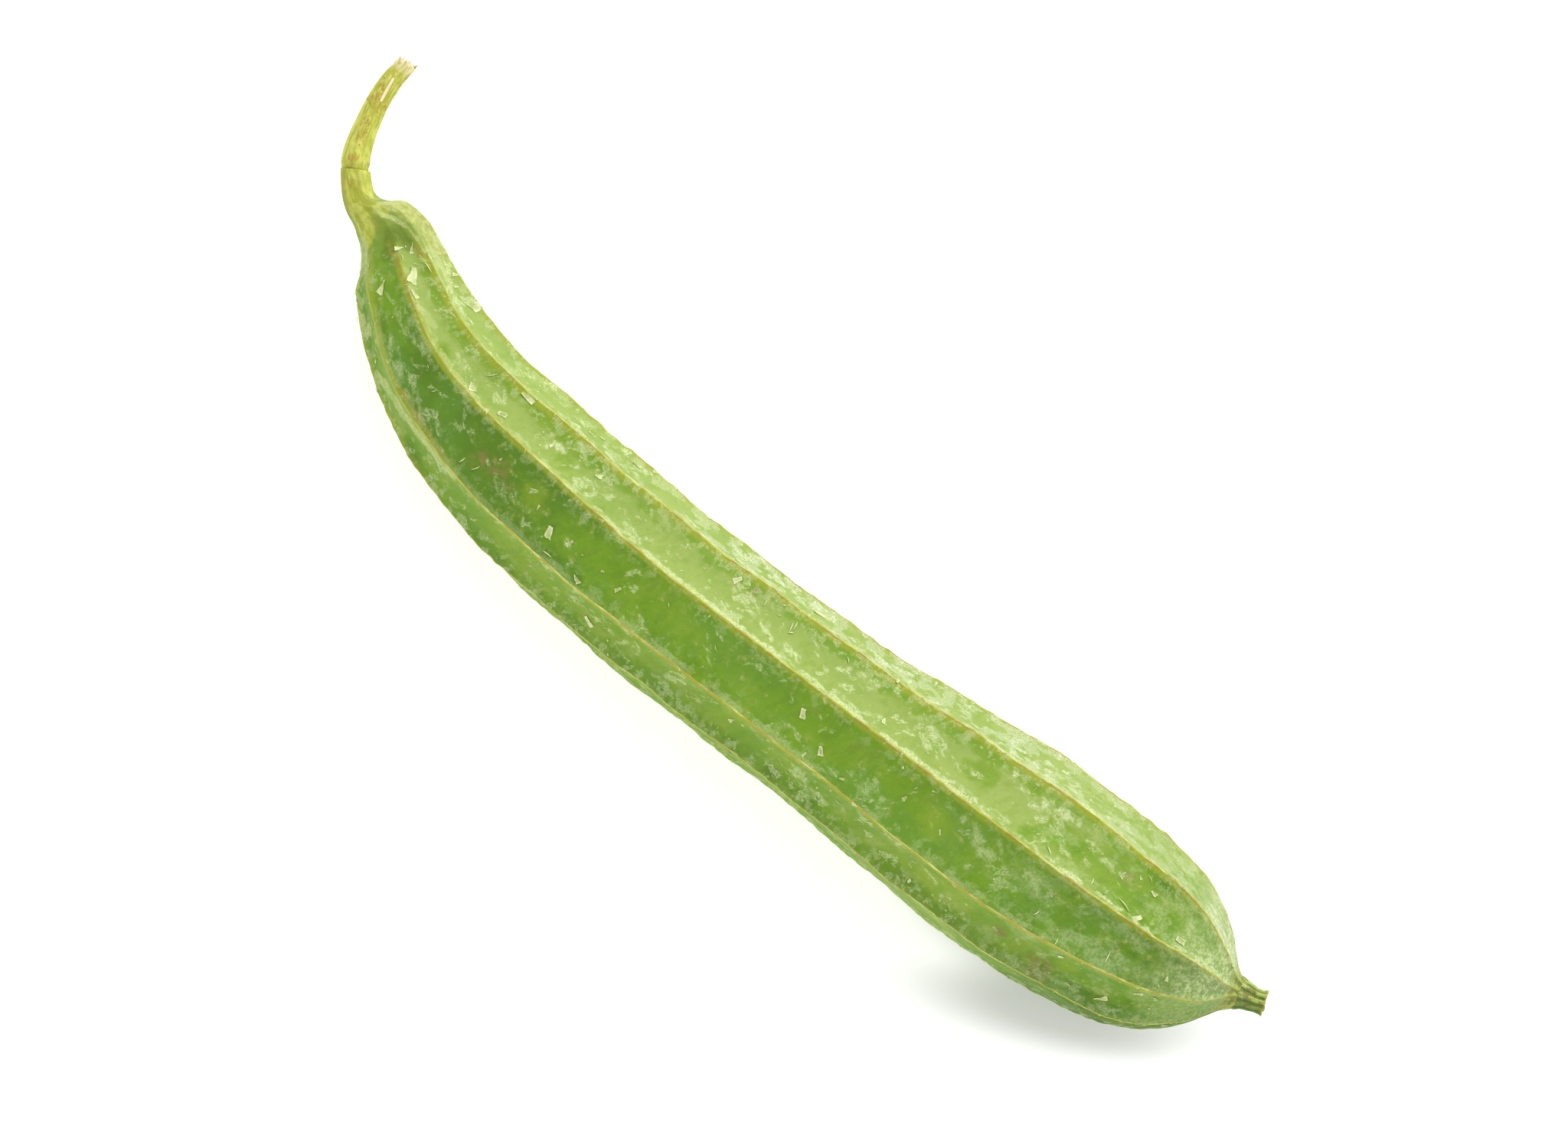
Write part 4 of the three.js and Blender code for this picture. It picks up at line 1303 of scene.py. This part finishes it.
fibre_pattern = wires.step(wires.noise(long_place, 0.45, 2.0, 0.6), 0.42, 0.6)
cut_colour = wires.mix(fibre_pattern, CUT_PALE, CUT_TAN)
cut_start = wires.plus(along, wires.times(wires.noise(long_place, 0.8), 5.0))
cut = wires.most(wires.attribute("cut"), wires.step(cut_start, 28.2, 31.0, 0.0, 0.85))
skin = wires.mix(cut, skin, cut_colour)
pores = wires.group(pore_tree, Place=long_place, Size=0.3)
set_surface(wires, shader, skin, wires.step(scarred, 0.0, 0.7, 0.5, 0.75), 0.25, pores)
print("stalk skin nodes:", len(wires.tree.nodes))

# %% Dry stub
RIM_YELLOW = colour(0.48, 0.45, 0.10)
RIM_BROWN = colour(0.15, 0.09, 0.03)

wires, shader = new_finish("dry_flower_stub", flower_stub)
place = wires.attribute("straight", "Vector")
along = wires.attribute("along")
groove = wires.step(wires.attribute("rib"), 0.5, -0.7)
skin = wires.group(stub_tree, Place=place, Depth=groove)
fine = wires.noise(wires.stretch(place, (1.0, 1.0, 0.2)), 0.45, 3.0, 0.6)
frosted = wires.times(wires.step(fine, 0.42, 0.68), wires.step(along, 2.5, 0.0, 0.1, 0.3))
skin = wires.mix(frosted, skin, WAX_WHITE)
# painted shade: the lower side, away from the key light, is darkened with the groove green
skin = wires.mix(wires.times(wires.attribute("low"), 0.8), skin, GROOVE_AND_SHADE_GREEN)
dry_rim = wires.step(wires.plus(along, wires.times(fine, 1.6)), 6.9, 7.5, 0.0, 0.8)
skin = wires.mix(dry_rim, skin, RIM_YELLOW)
specks = wires.group(speck_tree, Place=place, Size=1.2, Cover=0.6)
skin = wires.mix(wires.times(specks, 0.7), skin, RIM_BROWN)
skin = wires.mix(wires.times(wires.attribute("inside"), 0.8), skin, RIM_BROWN)
pores = wires.group(pore_tree, Place=place, Size=0.35)
set_surface(wires, shader, skin, wires.step(groove, 0.0, 1.0, 0.6, 0.85), 0.25, pores)
print("stub skin nodes:", len(wires.tree.nodes))

# %% Finish of the flakes and fibres
FLAKE_CREAM = colour(0.76, 0.80, 0.42)
FLAKE_GREEN = colour(0.54, 0.64, 0.24)
SCRAP_DEPTH = 0.08
for piece, name in ((skin_flakes, "dry_flake"), (skin_fibres, "dry_fibre")):
    wires, shader = new_finish(name, piece)
    place = wires.object_place()
    tint = wires.step(wires.noise(place, 2.5), 0.4, 0.62)
    rough = wires.step(wires.noise(place, 0.8), 0.3, 0.7, 0.4, 0.65)
    pores = wires.group(pore_tree, Place=place, Size=0.3)
    skin = wires.mix(tint, FLAKE_CREAM, FLAKE_GREEN)
    set_surface(wires, shader, skin, rough, 0.3, pores, SCRAP_DEPTH)
    if piece is skin_flakes:
        wires.feed(shader.inputs["Alpha"], wires.attribute("body"))

wires, shader = new_finish("torn_fibre", cut_fibres)
place = wires.object_place()
skin = wires.mix(wires.step(wires.noise(place, 1.2), 0.42, 0.6), CUT_PALE, SCAR_BROWN)
pores = wires.group(pore_tree, Place=place, Size=0.3)
set_surface(wires, shader, skin, 0.7, 0.5, pores, SCRAP_DEPTH)
print("finishes:", [material.name for material in bpy.data.materials])

# %% [markdown]
# ## The studio
# The gourd lies on a white table in a bright white room, the way small things are pictured for
# a shop. The table glows a little, as a light table does, and its glow fades out in three soft
# patches under the fruit. These patches are partly a painted shadow: the real shadow shows in
# them and isn't washed away there, but they also set how far and how dark the shadow looks. A
# large soft light stands low on the neck's side and a weaker one across from it. The light rakes
# over the crests, and the valley that faces the camera stays the deepest green.

# %% The table
TABLE_SIZE = 6.0  # metres
TABLE_DROP = 0.0002
TABLE_WHITE, TABLE_WHITER = colour(0.87, 0.87, 0.865), colour(0.89, 0.89, 0.885)
TABLE_GLOW = 0.43
# where the glow fades out, as a painted shadow: middle and half sizes in mm, and turn in degrees
PAINTED_SHADOW_POOLS = [((127.0, -33.5, 0.0), (56.0, 14.0, 1.0), 29.0),
         ((112.0, -21.0, 0.0), (58.0, 25.0, 1.0), 10.0),
         ((22.0, -15.5, 0.0), (150.0, 21.0, 1.0), 3.0)]

table_mesh = bpy.data.meshes.new("table")
half = TABLE_SIZE / 2
table_mesh.from_pydata(
    [(-half, -half, -TABLE_DROP), (half, -half, -TABLE_DROP),
     (half, half, -TABLE_DROP), (-half, half, -TABLE_DROP)], [], [(0, 1, 2, 3)])
table = bpy.data.objects.new("table", table_mesh)
bpy.context.scene.collection.objects.link(table)
wires, shader = new_finish("white_table", table)
place = wires.object_place()
white = wires.mix(wires.noise(place, 120.0), TABLE_WHITE, TABLE_WHITER)
glow = colour(1, 1, 1)
# painted shadow: in each patch the glow is cut, so the table there greys along with the real shadow
for middle, size, turn in PAINTED_SHADOW_POOLS:
    shadow_pool = wires.node("ShaderNodeMapping", {
        "Vector": place, "Location": middle, "Scale": size,
        "Rotation": (0.0, 0.0, math.radians(turn))}, vector_type="TEXTURE").outputs["Vector"]
    to_middle = wires.node("ShaderNodeVectorMath", {0: shadow_pool}, operation="LENGTH")
    outside = wires.step(to_middle.outputs["Value"], 0.35, 1.0)
    glow = wires.mix(outside, colour(0, 0, 0), glow)
set_surface(wires, shader, white, 0.9, 0.2)
wires.feed(shader.inputs["Emission Color"], glow)
shader.inputs["Emission Strength"].default_value = TABLE_GLOW
print("table finish nodes:", len(wires.tree.nodes))

# %% The room and the lights
ROOM_LIGHT = 0.7

world = bpy.data.worlds.new("white_room")
bpy.context.scene.world = world
world.use_nodes = True
background = world.node_tree.nodes["Background"]
background.inputs["Color"].default_value = colour(1, 1, 1)
background.inputs["Strength"].default_value = ROOM_LIGHT


def soft_light(name, tilt, turn, distance, width, height, power):
    """A square light that faces the origin. tilt is its angle from straight up and turn its
    heading in plan, both in degrees. Sizes are in metres and power in watts."""
    light = bpy.data.lights.new(name, "AREA")
    light.shape, light.size, light.size_y, light.energy = "RECTANGLE", width, height, power
    lamp = bpy.data.objects.new(name, light)
    tilt, turn = math.radians(tilt), math.radians(turn)
    way = Vector((math.sin(tilt) * math.cos(turn), math.sin(tilt) * math.sin(turn), math.cos(tilt)))
    lamp.location = way * distance
    lamp.rotation_euler = way.to_track_quat("Z", "Y").to_euler()
    bpy.context.scene.collection.objects.link(lamp)


soft_light("key_light", 58, 95, 1.3, 1.4, 0.7, 13.0)
soft_light("fill_light", 66, -95, 1.3, 1.4, 0.6, 6.0)
bpy.context.scene.view_settings.view_transform = "Standard"
print("lights:", [light.name for light in bpy.data.lights])

# %% [markdown]
